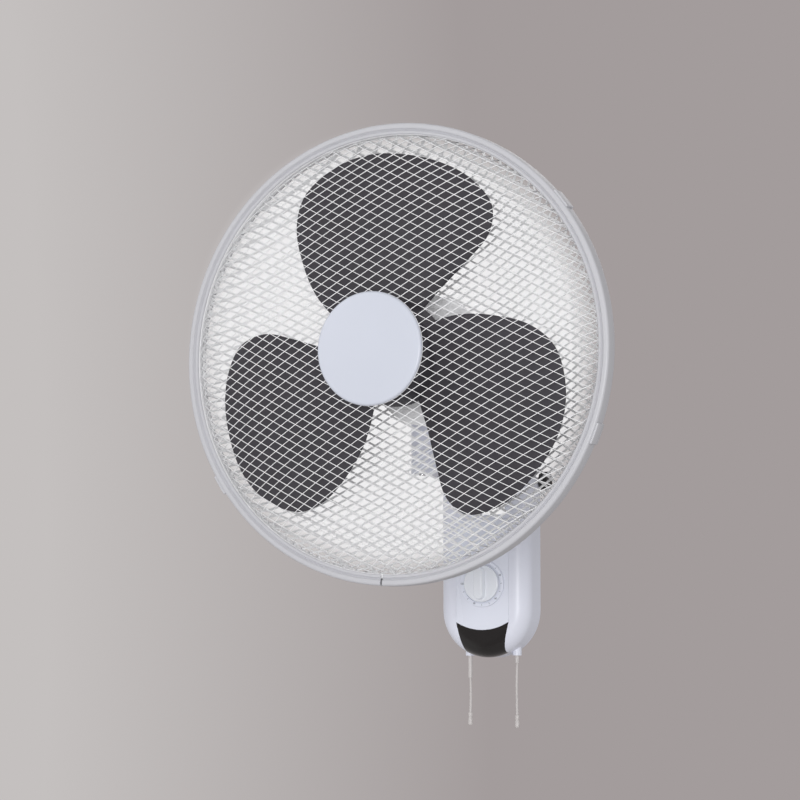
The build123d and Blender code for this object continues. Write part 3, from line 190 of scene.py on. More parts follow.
class WallFanCapSizes(bpy.types.PropertyGroup):
    """Sizes of the cap at the middle of the front guard."""

    radius: length("Radius", "Outer radius of the cap", 52.5)
    front: length("Front", "Front of the cap, ahead of the ring plane", 60)
    back: length("Back", "Back of the cap, ahead of the ring plane", 55.4)
    crown: length("Crown", "How far the middle stands out", 1.6)
    edge: length("Edge", "Rounding of the edge", 2.6)
    lip: length("Lip", "Width of the band at the cap's back", 2)


class WallFanDialSizes(bpy.types.PropertyGroup):
    """Sizes of the timer's figures."""

    face: length("Face", "Wall to the face that carries the figures", 56.2)
    figure_circle: length("Figure circle", "Radius of the circle that the figures stand on", 20.9)
    figure_height: length("Figure height", "Height of a figure", 2.7)
    tick_inner: length("Tick inside", "Inner radius of the ticks", 19.9)
    tick_outer: length("Tick outside", "Outer radius of the ticks", 21.7)
    tick_width: length("Tick width", "Width of a tick", 0.35)
    ink: length("Ink", "Thickness of the print", 0.06)
    sweep: rotation("Sweep", "Turn from the first figure to the last", 270)


class WallFanColours(bpy.types.PropertyGroup):
    """Colours of the finishes."""

    casing: colour("Casing", "White of the casings", 226, 228, 240)
    panel: colour("Panel", "White of the inset panel", 230, 233, 245)
    cap: colour("Cap", "White of the cap", 209, 213, 225)
    ring: colour("Ring", "Light grey of the trim ring", 199, 199, 204)
    mesh: colour("Mesh", "White of the coated mesh", 250, 250, 252)
    blade: colour("Blade", "Dark grey of the blades", 68, 66, 71)
    nose: colour("Nose", "Black of the nose", 12, 10, 10)
    knob: colour("Knob", "Black of the tilt knob", 34, 33, 35)
    cord: colour("Cord", "Off-white of the cords", 204, 199, 198)
    ink: colour("Ink", "Grey of the printed figures", 120, 124, 134)
    inner: colour("Inner plastic", "Grey of the plastic works", 150, 151, 156)
    backdrop_left: colour("Backdrop left", "Backdrop's left side", 196, 192, 191)
    backdrop_right: colour("Backdrop right", "Backdrop's right side", 163, 156, 156)
    # Painted light: a soft pool of light painted on the backdrop right behind the fan, where it shows through the
    # nets.
    backdrop_painted_glow: colour("Backdrop glow", "Backdrop right behind the fan", 238, 237, 238)


class WallFanStage(bpy.types.PropertyGroup):
    """Camera, lamps and floor."""

    distance: FloatProperty(name="Distance", description="Camera to the point it looks at",
                            default=3.0, min=0.5, unit="LENGTH")
    azimuth: rotation("Azimuth", "Camera's turn to the right", 25.26)
    elevation: rotation("Elevation", "Camera's height angle", -4.934)
    lens: FloatProperty(name="Lens", description="Focal length in millimetres",
                        default=145.96, min=20)
    aim: FloatVectorProperty(name="Aim", description="Point that the camera looks at", size=3,
                             default=(0.0043, -0.252, 0.14705), subtype="XYZ", unit="LENGTH")
    ambient: FloatProperty(name="Ambient", description="Strength of the surrounding light",
                           default=0.46, min=0)
    fade_left: FloatProperty(name="Fade left", default=0.095, min=0,
                             description="Left of the middle, where the backdrop starts to darken")
    fade_right: FloatProperty(name="Fade right", default=0.025, min=0,
                              description="Right of the middle, where it has darkened")
    # The backdrop's glow is painted light, a pool of light painted on it round the fan as seen from the camera;
    # these two set its size and its soft edge.
    glow: rotation("Glow", "Angle at which the backdrop's soft glow ends", 4.1)
    glow_edge: FloatProperty(name="Glow edge", default=0.18, min=0.01, max=1, subtype="FACTOR",
                             description="Share of that angle over which the glow fades")
    floor_drop: length("Floor drop", "Floor below the lowest point of the fan", 1100)
    floor_radius: FloatProperty(name="Floor radius", description="Where the floor has faded out",
                                default=2.6, min=0.5, unit="LENGTH")
    floor_whole: FloatProperty(name="Floor whole", default=0.3, min=0, max=1, subtype="FACTOR",
                               description="Share of that radius inside which it is whole")


# ------------------------------------------------------------------ nodes and finishes
# Every finish by its name, which is the name of its material slot.
FINISHES = {}
COAT_ROUGHNESS = 0.16


def new_finish(name):
    """New finish: its node tree, its shader and its object coordinates."""
    material = bpy.data.materials.new(f"{name}_finish")
    material.use_nodes = True
    FINISHES[name] = material
    tree = material.node_tree
    coordinates = tree.nodes.new("ShaderNodeTexCoord")
    return tree, tree.nodes["Principled BSDF"], coordinates.outputs["Object"]


def noise(tree, vector, scale, detail=3.0):
    """Noise value at a scale in features to the metre."""
    node = tree.nodes.new("ShaderNodeTexNoise")
    node.inputs["Scale"].default_value = scale
    node.inputs["Detail"].default_value = detail
    tree.links.new(vector, node.inputs["Vector"])
    return node.outputs["Fac"]


def stretched(tree, vector, scale):
    """Coordinates drawn out by a scale for each axis."""
    node = tree.nodes.new("ShaderNodeMapping")
    node.inputs["Scale"].default_value = scale
    tree.links.new(vector, node.inputs["Vector"])
    return node.outputs["Vector"]


def spread(tree, value, low, high, start=0.3, end=0.7):
    """Value spread from low to high."""
    node = tree.nodes.new("ShaderNodeMapRange")
    node.inputs["From Min"].default_value = start
    node.inputs["From Max"].default_value = end
    node.inputs["To Min"].default_value = low
    node.inputs["To Max"].default_value = high
    tree.links.new(value, node.inputs["Value"])
    return node.outputs["Result"]


def waves(tree, vector, scale, distortion, **settings):
    """Wave value, with the node's other settings by name."""
    node = tree.nodes.new("ShaderNodeTexWave")
    for name, value in settings.items():
        setattr(node, name, value)
    node.inputs["Scale"].default_value = scale
    node.inputs["Distortion"].default_value = distortion
    tree.links.new(vector, node.inputs["Vector"])
    return node.outputs["Fac"]


def blended(tree, share, first, second):
    """Colour between two others, each of them a value or a node's output."""
    node = tree.nodes.new("ShaderNodeMix")
    node.data_type = "RGBA"
    sockets = [socket for socket in node.inputs if socket.type == "RGBA"]
    for socket, shade in zip(sockets, (first, second)):
        if isinstance(shade, bpy.types.NodeSocket):
            tree.links.new(shade, socket)
        else:
            socket.default_value = [*shade, 1]
    tree.links.new(share, node.inputs["Factor"])
    return next(socket for socket in node.outputs if socket.type == "RGBA")


def tinted(tree, share, base, change):
    """Colour that wanders from base by a share of its brightness."""
    return blended(tree, share, [channel * (1 - change) for channel in base],
                   [min(1.0, channel * (1 + change)) for channel in base])


def bumped(tree, shader, height, distance, strength=1.0, below=None):
    """Raises the surface by a height value, over an earlier bump if there is one."""
    node = tree.nodes.new("ShaderNodeBump")
    node.inputs["Strength"].default_value = strength
    node.inputs["Distance"].default_value = distance
    tree.links.new(height, node.inputs["Height"])
    if below is not None:
        tree.links.new(below, node.inputs["Normal"])
    tree.links.new(node.outputs["Normal"], shader.inputs["Normal"])
    return node.outputs["Normal"]


def dressed(tree, shader, shade, roughness):
    """Links a colour and a roughness to the shader."""
    tree.links.new(shade, shader.inputs["Base Color"])
    tree.links.new(roughness, shader.inputs["Roughness"])


def measured(tree, vector):
    """Length of a vector."""
    node = tree.nodes.new("ShaderNodeVectorMath")
    node.operation = "LENGTH"
    tree.links.new(vector, node.inputs[0])
    return node.outputs["Value"]


def moulded(name, base, roughness, grain=0.03, wander=0.02, coat=0.0, gloss=0.45):
    """Moulded plastic: a slow drift of tone, flow marks in its gloss and a fine skin grain."""
    tree, shader, place = new_finish(name)
    flow = noise(tree, stretched(tree, place, (40, 40, 14)), 1.0, 4)
    dressed(tree, shader, tinted(tree, noise(tree, place, 22), base, wander),
            spread(tree, flow, roughness - 0.05, roughness + 0.05))
    sink = bumped(tree, shader, noise(tree, place, 55, 1), 0.2 * MM, 0.12)
    bumped(tree, shader, noise(tree, place, 2600, 2), grain * MM, 0.6, sink)
    shader.inputs["Coat Weight"].default_value = coat
    shader.inputs["Coat Roughness"].default_value = COAT_ROUGHNESS
    shader.inputs["Specular IOR Level"].default_value = gloss


def coated(name, base):
    """Powder coated steel: a soft orange peel with slightly uneven cover."""
    tree, shader, place = new_finish(name)
    dressed(tree, shader, tinted(tree, noise(tree, place, 60), base, 0.03),
            spread(tree, noise(tree, place, 300), 0.32, 0.46))
    bumped(tree, shader, noise(tree, place, 1400, 2), 0.05 * MM, 0.5)


def metal(name, base, roughness, lines, depth=0.02):
    """Plated or turned metal with fine lines drawn along one axis and faint stains."""
    tree, shader, place = new_finish(name)
    shader.inputs["Metallic"].default_value = 1.0
    drawn = noise(tree, stretched(tree, place, lines), 1.0, 5)
    dressed(tree, shader, tinted(tree, noise(tree, place, 70), base, 0.08),
            spread(tree, drawn, roughness - 0.08, roughness + 0.1))
    bumped(tree, shader, drawn, depth * MM, 0.5)


def cast(name, base):
    """Cast alloy: matt and pitted, with no lines."""
    tree, shader, place = new_finish(name)
    shader.inputs["Metallic"].default_value = 1.0
    dressed(tree, shader, tinted(tree, noise(tree, place, 90), base, 0.1),
            spread(tree, noise(tree, place, 240), 0.42, 0.6))
    bumped(tree, shader, noise(tree, place, 900, 4), 0.15 * MM, 0.7)


def stacked(name, base):
    """Stack of thin steel sheets, seen as fine bands along the fan axis."""
    tree, shader, place = new_finish(name)
    shader.inputs["Metallic"].default_value = 0.9
    bands = waves(tree, place, 320, 0.6, bands_direction="Y")
    dressed(tree, shader, tinted(tree, bands, base, 0.25),
            spread(tree, noise(tree, place, 200), 0.4, 0.6))
    bumped(tree, shader, bands, 0.1 * MM, 0.8)


def wound(name, base):
    """Enamelled wire, wound round the fan axis."""
    tree, shader, place = new_finish(name)
    shader.inputs["Metallic"].default_value = 0.8
    centred = tree.nodes.new("ShaderNodeMapping")
    centred.inputs["Location"].default_value = -FAN
    tree.links.new(place, centred.inputs["Vector"])
    turns = waves(tree, centred.outputs["Vector"], 300, 1.2, wave_type="RINGS",
                  rings_direction="Y")
    dressed(tree, shader, tinted(tree, turns, base, 0.3),
            spread(tree, noise(tree, place, 150), 0.25, 0.4))
    bumped(tree, shader, turns, 0.3 * MM, 0.9)


def braided(name, base):
    """Braided cord: strands that cross on a slant, with a soft fuzz."""
    tree, shader, place = new_finish(name)
    weave = waves(tree, place, 420, 0.8, bands_direction="DIAGONAL")
    dressed(tree, shader, tinted(tree, weave, base, 0.06),
            spread(tree, noise(tree, place, 1500), 0.7, 0.95))
    bumped(tree, shader, weave, 0.05 * MM, 0.5)
    shader.inputs["Sheen Weight"].default_value = 0.25


def make_finishes(colours):
    """Makes every finish of the fan."""
    moulded("white_body", colours.casing, 0.42, coat=0.1)
    moulded("white_panel", colours.panel, 0.24, grain=0.01, coat=0.4)
    moulded("black_gloss", colours.nose, 0.14, grain=0.004, coat=0.5)
    moulded("black_plastic", colours.knob, 0.5, grain=0.12, wander=0.08)
    moulded("dial_print", colours.panel, 0.4, grain=0.02)
    moulded("grey_plastic", colours.inner, 0.45, grain=0.06, wander=0.04)
    moulded("white_knob", srgb(240, 243, 250), 0.22, grain=0.01, coat=0.4)
    moulded("cord_sleeve", colours.cord, 0.38, grain=0.02)
    braided("pull_cord", colours.cord)
    moulded("capacitor_case", srgb(60, 60, 64), 0.42, grain=0.05, wander=0.06)
    metal("bright_steel", srgb(198, 199, 202), 0.26, lines=(30, 900, 900))
    metal("zinc_steel", srgb(190, 193, 196), 0.36, lines=(12, 300, 1200), depth=0.03)
    cast("cast_alloy", srgb(196, 197, 200))
    cast("sintered_bronze", srgb(182, 150, 104))
    stacked("core_steel", srgb(120, 120, 124))
    wound("copper_wire", srgb(190, 118, 74))
    coated("white_mesh", colours.mesh)
    moulded("ring_plastic", colours.ring, 0.45, grain=0.012, coat=0.1)
    moulded("cap_plastic", colours.cap, 0.36, grain=0.012, coat=0.1)
    moulded("blade_plastic", colours.blade, 0.6, grain=0.02, wander=0.05, gloss=0.2)
    moulded("dial_ink", colours.ink, 0.5, grain=0.01)


# ------------------------------------------------------------------ modelling helpers
# Edges sharper than the first are bevelled, and those sharper than the second look sharp.
BEVEL_ANGLE = math.radians(40)
SHADE_ANGLE = math.radians(35)
MERGE_DISTANCE = 0.005 * MM


def spun(profile, steps):
    """Surface of revolution about the fan axis from (radius, forward) points."""
    bm = bmesh.new()
    ring = [bm.verts.new(FAN + Vector((radius, -forward, 0))) for radius, forward in profile]
    path = [bm.edges.new(pair) for pair in zip(ring, ring[1:])]
    bmesh.ops.spin(bm, geom=ring + path, cent=FAN, axis=FORWARD, angle=FULL_TURN,
                   steps=steps, use_merge=True)
    bmesh.ops.remove_doubles(bm, verts=bm.verts, dist=MERGE_DISTANCE)
    bmesh.ops.recalc_face_normals(bm, faces=bm.faces)
    return bm


def outward_at(turn):
    """Direction away from the fan axis at a turn anticlockwise from the right."""
    return Vector((math.cos(turn), 0, math.sin(turn)))


def swept(section, start, angle, steps):
    """Closed section of (radius, forward) points, swept about the fan axis and capped."""
    outward = outward_at(start)
    bm = bmesh.new()
    loop = [bm.verts.new(FAN + outward * radius + FORWARD * forward)
            for radius, forward in section]
    edges = [bm.edges.new(pair) for pair in zip(loop, loop[1:] + loop[:1])]
    bmesh.ops.spin(bm, geom=loop + edges, cent=FAN, axis=FORWARD, angle=angle, steps=steps)
    bmesh.ops.holes_fill(bm, edges=[edge for edge in bm.edges if edge.is_boundary])
    bmesh.ops.recalc_face_normals(bm, faces=bm.faces)
    return bm


def rounded_corner(radius, forward, size, steps):
    """Quarter circle as (radius, forward) points, from a front face out to a rim."""
    angles = [math.pi / 2 * i / steps for i in range(steps + 1)]
    return [(radius - size * (1 - math.sin(angle)), forward - size * (1 - math.cos(angle)))
            for angle in angles]


def soften(bm, width, segments=2):
    """Bevels every sharp edge."""
    sharp = [edge for edge in bm.edges
             if edge.is_manifold and edge.calc_face_angle(0) > BEVEL_ANGLE]
    bmesh.ops.bevel(bm, geom=sharp, offset=width, affect="EDGES", segments=segments, profile=0.5,
                    material=-1)


def joined(target, *others):
    """Moves the meshes of other bmeshes into the first one."""
    for other in others:
        mesh = bpy.data.meshes.new("part")
        other.to_mesh(mesh)
        other.free()
        target.from_mesh(mesh)
        bpy.data.meshes.remove(mesh)
    return target


def thicken(piece, thickness, offset):
    """Gives a sheet its wall: an offset of 0 is on both of its sides, -1 on the inner one."""
    wall = piece.modifiers.new("wall", "SOLIDIFY")
    wall.thickness = thickness
    wall.offset = offset


def linked(name, data):
    """New object of some data, in the scene."""
    item = bpy.data.objects.new(name, data)
    bpy.context.scene.collection.objects.link(item)
    return item


def new_piece(bm, name, body, slot, replaced=()):
    """Turns a bmesh into a finished piece that rides on a body."""
    for face in bm.faces:
        face.smooth = True
    for edge in bm.edges:
        edge.smooth = not edge.is_manifold or edge.calc_face_angle(0) < SHADE_ANGLE
    mesh = bpy.data.meshes.new(name)
    bm.to_mesh(mesh)
    bm.free()
    return place_piece(mesh, name, body, slot, replaced)


def place_piece(data, name, body, slot, replaced=()):
    """Object of mesh or curve data with its finish, body and slot."""
    piece = linked(name, data)
    data.materials.append(FINISHES[slot])
    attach(piece, body)
    if replaced:
        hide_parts(*replaced)
    return piece


# ------------------------------------------------------------------ stage
# Each lamp's place and size in metres, and its power in watts.
LAMPS = {
    "key": ((0.95, -2.95, 0.05), 0.8, 39.5),
    "fill": ((-2.0, -2.2, 1.1), 1.8, 14),
    "side": ((2.5, -0.7, 0.3), 1.6, 3.5),
    "back": ((-0.6, 2.4, 1.5), 2.0, 14),
}


class WALLFAN_OT_stage(bpy.types.Operator):
    """Makes the camera, the lamps, the backdrop and the floor"""

    bl_idname = "wallfan.stage"
    bl_label = "Stage"

    def execute(self, context):
        scene = context.scene
        stage = scene.wall_fan_stage
        colours = scene.wall_fan_colours
        scene.view_settings.view_transform = "Standard"
        self.camera(scene, stage)
        self.backdrop(scene, stage, colours)
        self.floor(stage, colours)
        for name, (place, size, power) in LAMPS.items():
            self.lamp(name, Vector(place), size, power)
        return {"FINISHED"}

    def camera(self, scene, stage):
        """Camera at the viewing angle of the photograph."""
        data = bpy.data.cameras.new("camera")
        data.lens = stage.lens
        camera = linked("camera", data)
        level = math.cos(stage.elevation)
        back = Vector((math.sin(stage.azimuth) * level, -math.cos(stage.azimuth) * level,
                       math.sin(stage.elevation)))
        aimed(camera, Vector(stage.aim) + back * stage.distance, -back)
        scene.camera = camera

    def backdrop(self, scene, stage, colours):
        """World that lights evenly and shows a plain backdrop with painted light: a soft glow behind the fan."""
        world = bpy.data.worlds.new("backdrop")
        world.use_nodes = True
        scene.world = world
        tree = world.node_tree
        shown = tree.nodes["Background"]
        lighting = tree.nodes.new("ShaderNodeBackground")
        lighting.inputs["Color"].default_value = (1, 1, 1, 1)
        lighting.inputs["Strength"].default_value = stage.ambient
        coordinates = tree.nodes.new("ShaderNodeTexCoord")
        split = tree.nodes.new("ShaderNodeSeparateXYZ")
        tree.links.new(coordinates.outputs["Generated"], split.inputs["Vector"])
        middle = -math.sin(stage.azimuth)
        fading = spread(tree, split.outputs["X"], 0, 1, middle - stage.fade_left,
                        middle + stage.fade_right)
        plain = blended(tree, fading, colours.backdrop_left, colours.backdrop_right)
        # Painted light: a soft oval pool of light painted on the backdrop, centred on the fan as seen from the
        # camera.
        towards = (FAN - scene.camera.location).normalized()
        reach = math.sin(stage.glow)
        painted_glow_oval = tree.nodes.new("ShaderNodeMapping")
        painted_glow_oval.vector_type = "TEXTURE"
        painted_glow_oval.inputs["Location"].default_value = towards
        painted_glow_oval.inputs["Rotation"].default_value = towards.to_track_quat("-Z", "Y").to_euler()
        painted_glow_oval.inputs["Scale"].default_value = (reach * math.cos(stage.azimuth), reach, 1)
        tree.links.new(coordinates.outputs["Generated"], painted_glow_oval.inputs["Vector"])
        near = spread(tree, measured(tree, painted_glow_oval.outputs["Vector"]), 1, 0, 1 - stage.glow_edge, 1)
        near.node.interpolation_type = "SMOOTHSTEP"
        tree.links.new(blended(tree, near, plain, colours.backdrop_painted_glow), shown.inputs["Color"])
        surface = tree.nodes.new("ShaderNodeMixShader")
        tree.links.new(seen_ray(tree), surface.inputs["Fac"])
        tree.links.new(lighting.outputs["Background"], surface.inputs[1])
        tree.links.new(shown.outputs["Background"], surface.inputs[2])
        tree.links.new(surface.outputs["Shader"], tree.nodes["World Output"].inputs["Surface"])

    def floor(self, stage, colours):
        """Round pale floor that fades into the backdrop."""
        bm = bmesh.new()
        bmesh.ops.create_circle(bm, cap_ends=True, segments=96, radius=stage.floor_radius)
        bmesh.ops.translate(bm, verts=bm.verts, vec=UP * (CAD_LOW.z - stage.floor_drop))
        mesh = bpy.data.meshes.new("floor")
        bm.to_mesh(mesh)
        bm.free()
        floor = linked("floor", mesh)
        tree, shader, place = new_finish("floor")
        shader.inputs["Base Color"].default_value = [*colours.backdrop_left, 1]
        shader.inputs["Roughness"].default_value = 0.9
        fade = spread(tree, measured(tree, place), 1, 0,
                      stage.floor_whole * stage.floor_radius, stage.floor_radius)
        tree.links.new(fade, shader.inputs["Alpha"])
        mesh.materials.append(FINISHES["floor"])

    def lamp(self, name, place, size, power):
        """Soft square lamp that faces the fan."""
        data = bpy.data.lights.new(name, "AREA")
        data.size = size
        data.energy = power
        aimed(linked(name, data), place, FAN - place)


def aimed(item, place, direction):
    """Puts a camera or a lamp at a place and turns it along a direction."""
    item.location = place
    item.rotation_mode = "QUATERNION"
    item.rotation_quaternion = direction.to_track_quat("-Z", "Y")


def seen_ray(tree):
    """One for rays that see the backdrop: from the camera, a reflection or clear plastic."""
    rays = tree.nodes.new("ShaderNodeLightPath")
    value = rays.outputs["Is Camera Ray"]
    for output in ("Is Glossy Ray", "Is Transmission Ray"):
        node = tree.nodes.new("ShaderNodeMath")
        node.operation = "ADD"
        node.use_clamp = True
        tree.links.new(value, node.inputs[0])
        tree.links.new(rays.outputs[output], node.inputs[1])
        value = node.outputs["Value"]
    return value


# ------------------------------------------------------------------ cords
CORD_DIAMETER = 2.2 * MM
CORD_REACH = 27.4 * MM
# Each cord's length, and its route from the rod down to the tip as (across, up).
CORDS = {
    "left": (34 * MM, ((-25 * MM, -109 * MM), (-24.1 * MM, -126 * MM), (-25 * MM, -143 * MM))),
    "right": (51 * MM, ((25 * MM, -94.5 * MM), (24.1 * MM, -120 * MM), (25 * MM, -145.5 * MM))),
}


class WALLFAN_OT_cords(bpy.types.Operator):
    """Hangs the two pull cords"""

    bl_idname = "wallfan.cords"
    bl_label = "Pull cords"

    def execute(self, context):
        for side, (run, turns) in CORDS.items():
            route = [(across, -CORD_REACH, up) for across, up in turns]
            data = bpy.data.curves.new(f"pull_cord_{side}_line", "CURVE")
            data.dimensions = "3D"
            data.bevel_depth = CORD_DIAMETER / 2
            data.bevel_resolution = 6
            data.resolution_u = 24
            data.use_fill_caps = True
            spline = data.splines.new("NURBS")
            spline.points.add(len(route) - 1)
            for point, place in zip(spline.points, route):
                point.co = (*place, 1)
            spline.order_u = 3
            spline.use_endpoint_u = True
            cord = place_piece(data, f"pull_cord_{side}_line", f"pull_{side}", "pull_cord",
                               [f"pull_cord_{side}"])
        return {"FINISHED"}


# ------------------------------------------------------------------ guards
def dome_forward(sizes, height, radius):
    """How far a dome stands forward of the ring plane at a radius."""
    share = min(1.0, radius / sizes.dome_radius) ** sizes.width_power
    return height * (1 - share) ** sizes.height_power


def radius_at(place):
    """Distance of a point from the fan axis."""
    return math.hypot(place.x - FAN.x, place.z - FAN.z)


def drop_faces(bm, test):
    """Deletes the faces whose every corner passes a test on its radius."""
    found = [face for face in bm.faces if all(test(radius_at(v.co)) for v in face.verts)]
    bmesh.ops.delete(bm, geom=found, context="FACES")


def diamond_net(sizes, height, way, inner, strand):
    """Net of diamond gaps, bent to a dome that stands out one way along the fan axis."""
    half_x = sizes.gap_width / 2
    half_z = sizes.gap_height / 2
    outer = sizes.dome_radius
    cells = 2 * math.ceil(math.hypot(outer / half_x, outer / half_z) / 2 + 1)
    bm = bmesh.new()
    bmesh.ops.create_grid(bm, x_segments=cells, y_segments=cells, size=cells / 2)
    slant = Matrix(((half_x, -half_x, 0, 0), (0, 0, -1, 0), (half_z, half_z, 0, 0), (0, 0, 0, 1)))
    bmesh.ops.transform(bm, matrix=slant, verts=bm.verts)
    bmesh.ops.transform(bm, matrix=Matrix.Rotation(-sizes.roll, 4, "Y"), verts=bm.verts)
    bmesh.ops.translate(bm, vec=FAN, verts=bm.verts)
    drop_faces(bm, lambda radius: radius > outer + sizes.gap_width)
    gaps = list(bm.faces)
    bmesh.ops.inset_individual(bm, faces=gaps, thickness=strand / 2, use_even_offset=True)
    bmesh.ops.delete(bm, geom=gaps, context="FACES")
    drop_faces(bm, lambda radius: radius > outer)
    drop_faces(bm, lambda radius: radius < inner)
    for vert in bm.verts:
        radius = radius_at(vert.co)
        held = min(max(radius, inner), outer)
        if held != radius:
            vert.co.x = FAN.x + (vert.co.x - FAN.x) * held / radius
            vert.co.z = FAN.z + (vert.co.z - FAN.z) * held / radius
        vert.co.y = FAN.y - way * dome_forward(sizes, height, held)
    if way < 0:
        bmesh.ops.reverse_faces(bm, faces=bm.faces)
    return bm


def folded_rim(sizes, way):
    """Folded rim of a guard, which the trim ring clamps."""
    near = way * sizes.rim_gap
    far = way * (sizes.rim_gap + sizes.rim_depth)
    rim = spun([(sizes.rim_inner, near), (sizes.rim_outer, near), (sizes.rim_outer, far),
                (sizes.rim_inner, far), (sizes.rim_inner, near)], steps=192)
    soften(rim, sizes.rim_round)
    return rim


class WALLFAN_OT_guards(bpy.types.Operator):
    """Builds the front and rear mesh guards"""

    bl_idname = "wallfan.guards"
    bl_label = "Mesh guards"

    def execute(self, context):
        sizes = context.scene.wall_fan_guards
        front = diamond_net(sizes, sizes.front_dome, 1, sizes.disc_radius - sizes.net_lap,
                            sizes.front_strand)
        rear = diamond_net(sizes, sizes.rear_dome, -1, sizes.plate_radius - sizes.net_lap,
                           sizes.rear_strand)
        self.net_piece(sizes, front, "front")
        self.net_piece(sizes, rear, "rear")
        new_piece(joined(self.front_disc(sizes), folded_rim(sizes, 1)), "front_guard_frame",
                  "head", "white_mesh", ["front_guard"])
        new_piece(joined(self.rear_plate(sizes), folded_rim(sizes, -1)), "rear_guard_frame",
                  "head", "white_mesh", ["rear_guard"])
        return {"FINISHED"}

    def net_piece(self, sizes, net, side):
        """One net, given its thickness by a modifier."""
        piece = new_piece(net, f"{side}_net", "head", "white_mesh", [f"{side}_guard"])
        thicken(piece, sizes.sheet, offset=-1)

    def front_disc(self, sizes):
        """Pressed disc behind the cap."""
        front = dome_forward(sizes, sizes.front_dome, sizes.disc_radius)
        back = front - sizes.disc_sheet
        return spun([(0, back), (sizes.disc_radius, back), (sizes.disc_radius, front),
                     (0, front)], steps=96)

    def rear_plate(self, sizes):
        """Pressed plate that the motor's nut clamps, with a raised bead."""
        back = -sizes.plate_back
        front = back + sizes.plate_sheet
        hole, outer, rise = sizes.plate_hole, sizes.plate_radius, sizes.bead_rise
        crest = outer - sizes.bead_place
        inside, outside = crest - sizes.bead_half, crest + sizes.bead_half
        profile = [(hole, back), (inside, back), (crest, back + rise), (outside, back),
                   (outer, back), (outer, front), (outside, front), (crest, front + rise),
                   (inside, front), (hole, front), (hole, back)]
        return spun(profile, steps=96)


# ------------------------------------------------------------------ trim ring
# Places of the clips in degrees, anticlockwise from the right.
CLIP_TURNS = (38.5, 213, 338)


class WALLFAN_OT_ring(bpy.types.Operator):
    """Builds the hoop that clamps the two guards, split where its screw sits"""

    bl_idname = "wallfan.ring"
    bl_label = "Trim ring"

    def execute(self, context):
        sizes = context.scene.wall_fan_ring
        ring = self.hoop(sizes)
        for way in (-1, 1):
            joined(ring, self.lug(sizes, way))
        new_piece(ring, "trim_hoop", "head", "ring_plastic", ["trim_ring"])
        clips = [self.clip(sizes, math.radians(turn)) for turn in CLIP_TURNS]
        new_piece(joined(*clips), "clip_lips", "head", "ring_plastic", ["ring_clips"])
        return {"FINISHED"}

    def section(self, sizes):
        """Section of the hoop as (radius, forward), a channel that is open towards the axis."""
        outer, inner = sizes.radius, sizes.radius - sizes.width
        half = sizes.depth / 2
        corner = rounded_corner(outer, half, sizes.corner, steps=6)
        seam = sizes.seam_radius
        front = [(inner, half - sizes.step - sizes.edge), (inner + sizes.edge, half - sizes.step),
                 (seam - sizes.seam / 2, half - sizes.step), (seam, half - sizes.seam_depth),
                 (seam + sizes.seam / 2, half - sizes.edge),
                 (seam + sizes.seam / 2 + sizes.edge, half)]
        back = [(radius, -forward) for radius, forward in reversed(corner)]
        channel = [(inner + sizes.edge, -half), (inner, sizes.edge - half),
                   (inner, sizes.wall - half), (outer - sizes.wall, sizes.wall - half),
                   (outer - sizes.wall, half - sizes.wall), (inner, half - sizes.wall)]
        return [*front, *corner, *back, *channel]

    def hoop(self, sizes):
        """Hoop, closed at both of its ends."""
        gap = 2 * math.asin(sizes.split / 2 / sizes.radius)
        return swept(self.section(sizes), sizes.split_angle + gap / 2, FULL_TURN - gap, steps=240)

    def clip(self, sizes, turn):
        """Low clip with soft edges, bent round the outside of the hoop."""
        half_turn = sizes.clip_length / 2 / sizes.radius
        half = sizes.clip_depth / 2
        low, high = sizes.radius - sizes.clip_sink, sizes.radius + sizes.clip_rise
        bm = swept([(low, -half), (high, -half), (high, half), (low, half)], turn - half_turn,
                   2 * half_turn, steps=10)
        soften(bm, sizes.edge, segments=3)
        return bm

    def lug(self, sizes, way):
        """One of the two lugs behind the hoop, bored for the screw that draws them together."""
        half = sizes.lug_width / 2
        bm = bmesh.new()
        bmesh.ops.create_circle(bm, segments=16, radius=half)
        for vert in bm.verts:
            reach = max(abs(vert.co.x), abs(vert.co.y))
            vert.co *= half / reach
        bmesh.ops.create_circle(bm, segments=16, radius=sizes.lug_hole)
        bmesh.ops.bridge_loops(bm, edges=bm.edges)
        grown = bmesh.ops.extrude_face_region(bm, geom=list(bm.faces))
        moved = [item for item in grown["geom"] if isinstance(item, bmesh.types.BMVert)]
        bmesh.ops.translate(bm, verts=moved, vec=UP * sizes.lug_length)
        bmesh.ops.translate(bm, verts=bm.verts, vec=UP * sizes.split / 2)
        outward = outward_at(sizes.split_angle)
        along = way * outward.cross(FORWARD)
        middle = FAN + outward * sizes.lug_radius - FORWARD * (sizes.depth / 2 + half)
        frame_of_lug = Matrix((outward, -FORWARD, along)).transposed().to_4x4()
        bmesh.ops.transform(bm, matrix=Matrix.Translation(middle) @ frame_of_lug, verts=bm.verts)
        bmesh.ops.recalc_face_normals(bm, faces=bm.faces)
        return bm


# ------------------------------------------------------------------ cap
class WALLFAN_OT_cap(bpy.types.Operator):
    """Builds the plain cap at the middle of the front guard"""

    bl_idname = "wallfan.cap"
    bl_label = "Cap"

    def execute(self, context):
        sizes = context.scene.wall_fan_cap
        flat = sizes.radius - sizes.edge
        rings = 12
        crown = [(flat * i / rings, sizes.front - sizes.crown * (i / rings) ** 2)
                 for i in range(rings + 1)]
        edge = rounded_corner(sizes.radius, sizes.front - sizes.crown, sizes.edge,
                              steps=8)[1:]
        back = [(sizes.radius, sizes.back), (sizes.radius - sizes.lip, sizes.back),
                (0, sizes.back)]
        new_piece(spun(crown + edge + back, steps=128), "cap_cover", "head", "cap_plastic",
                  ["hub_cap"])
        return {"FINISHED"}


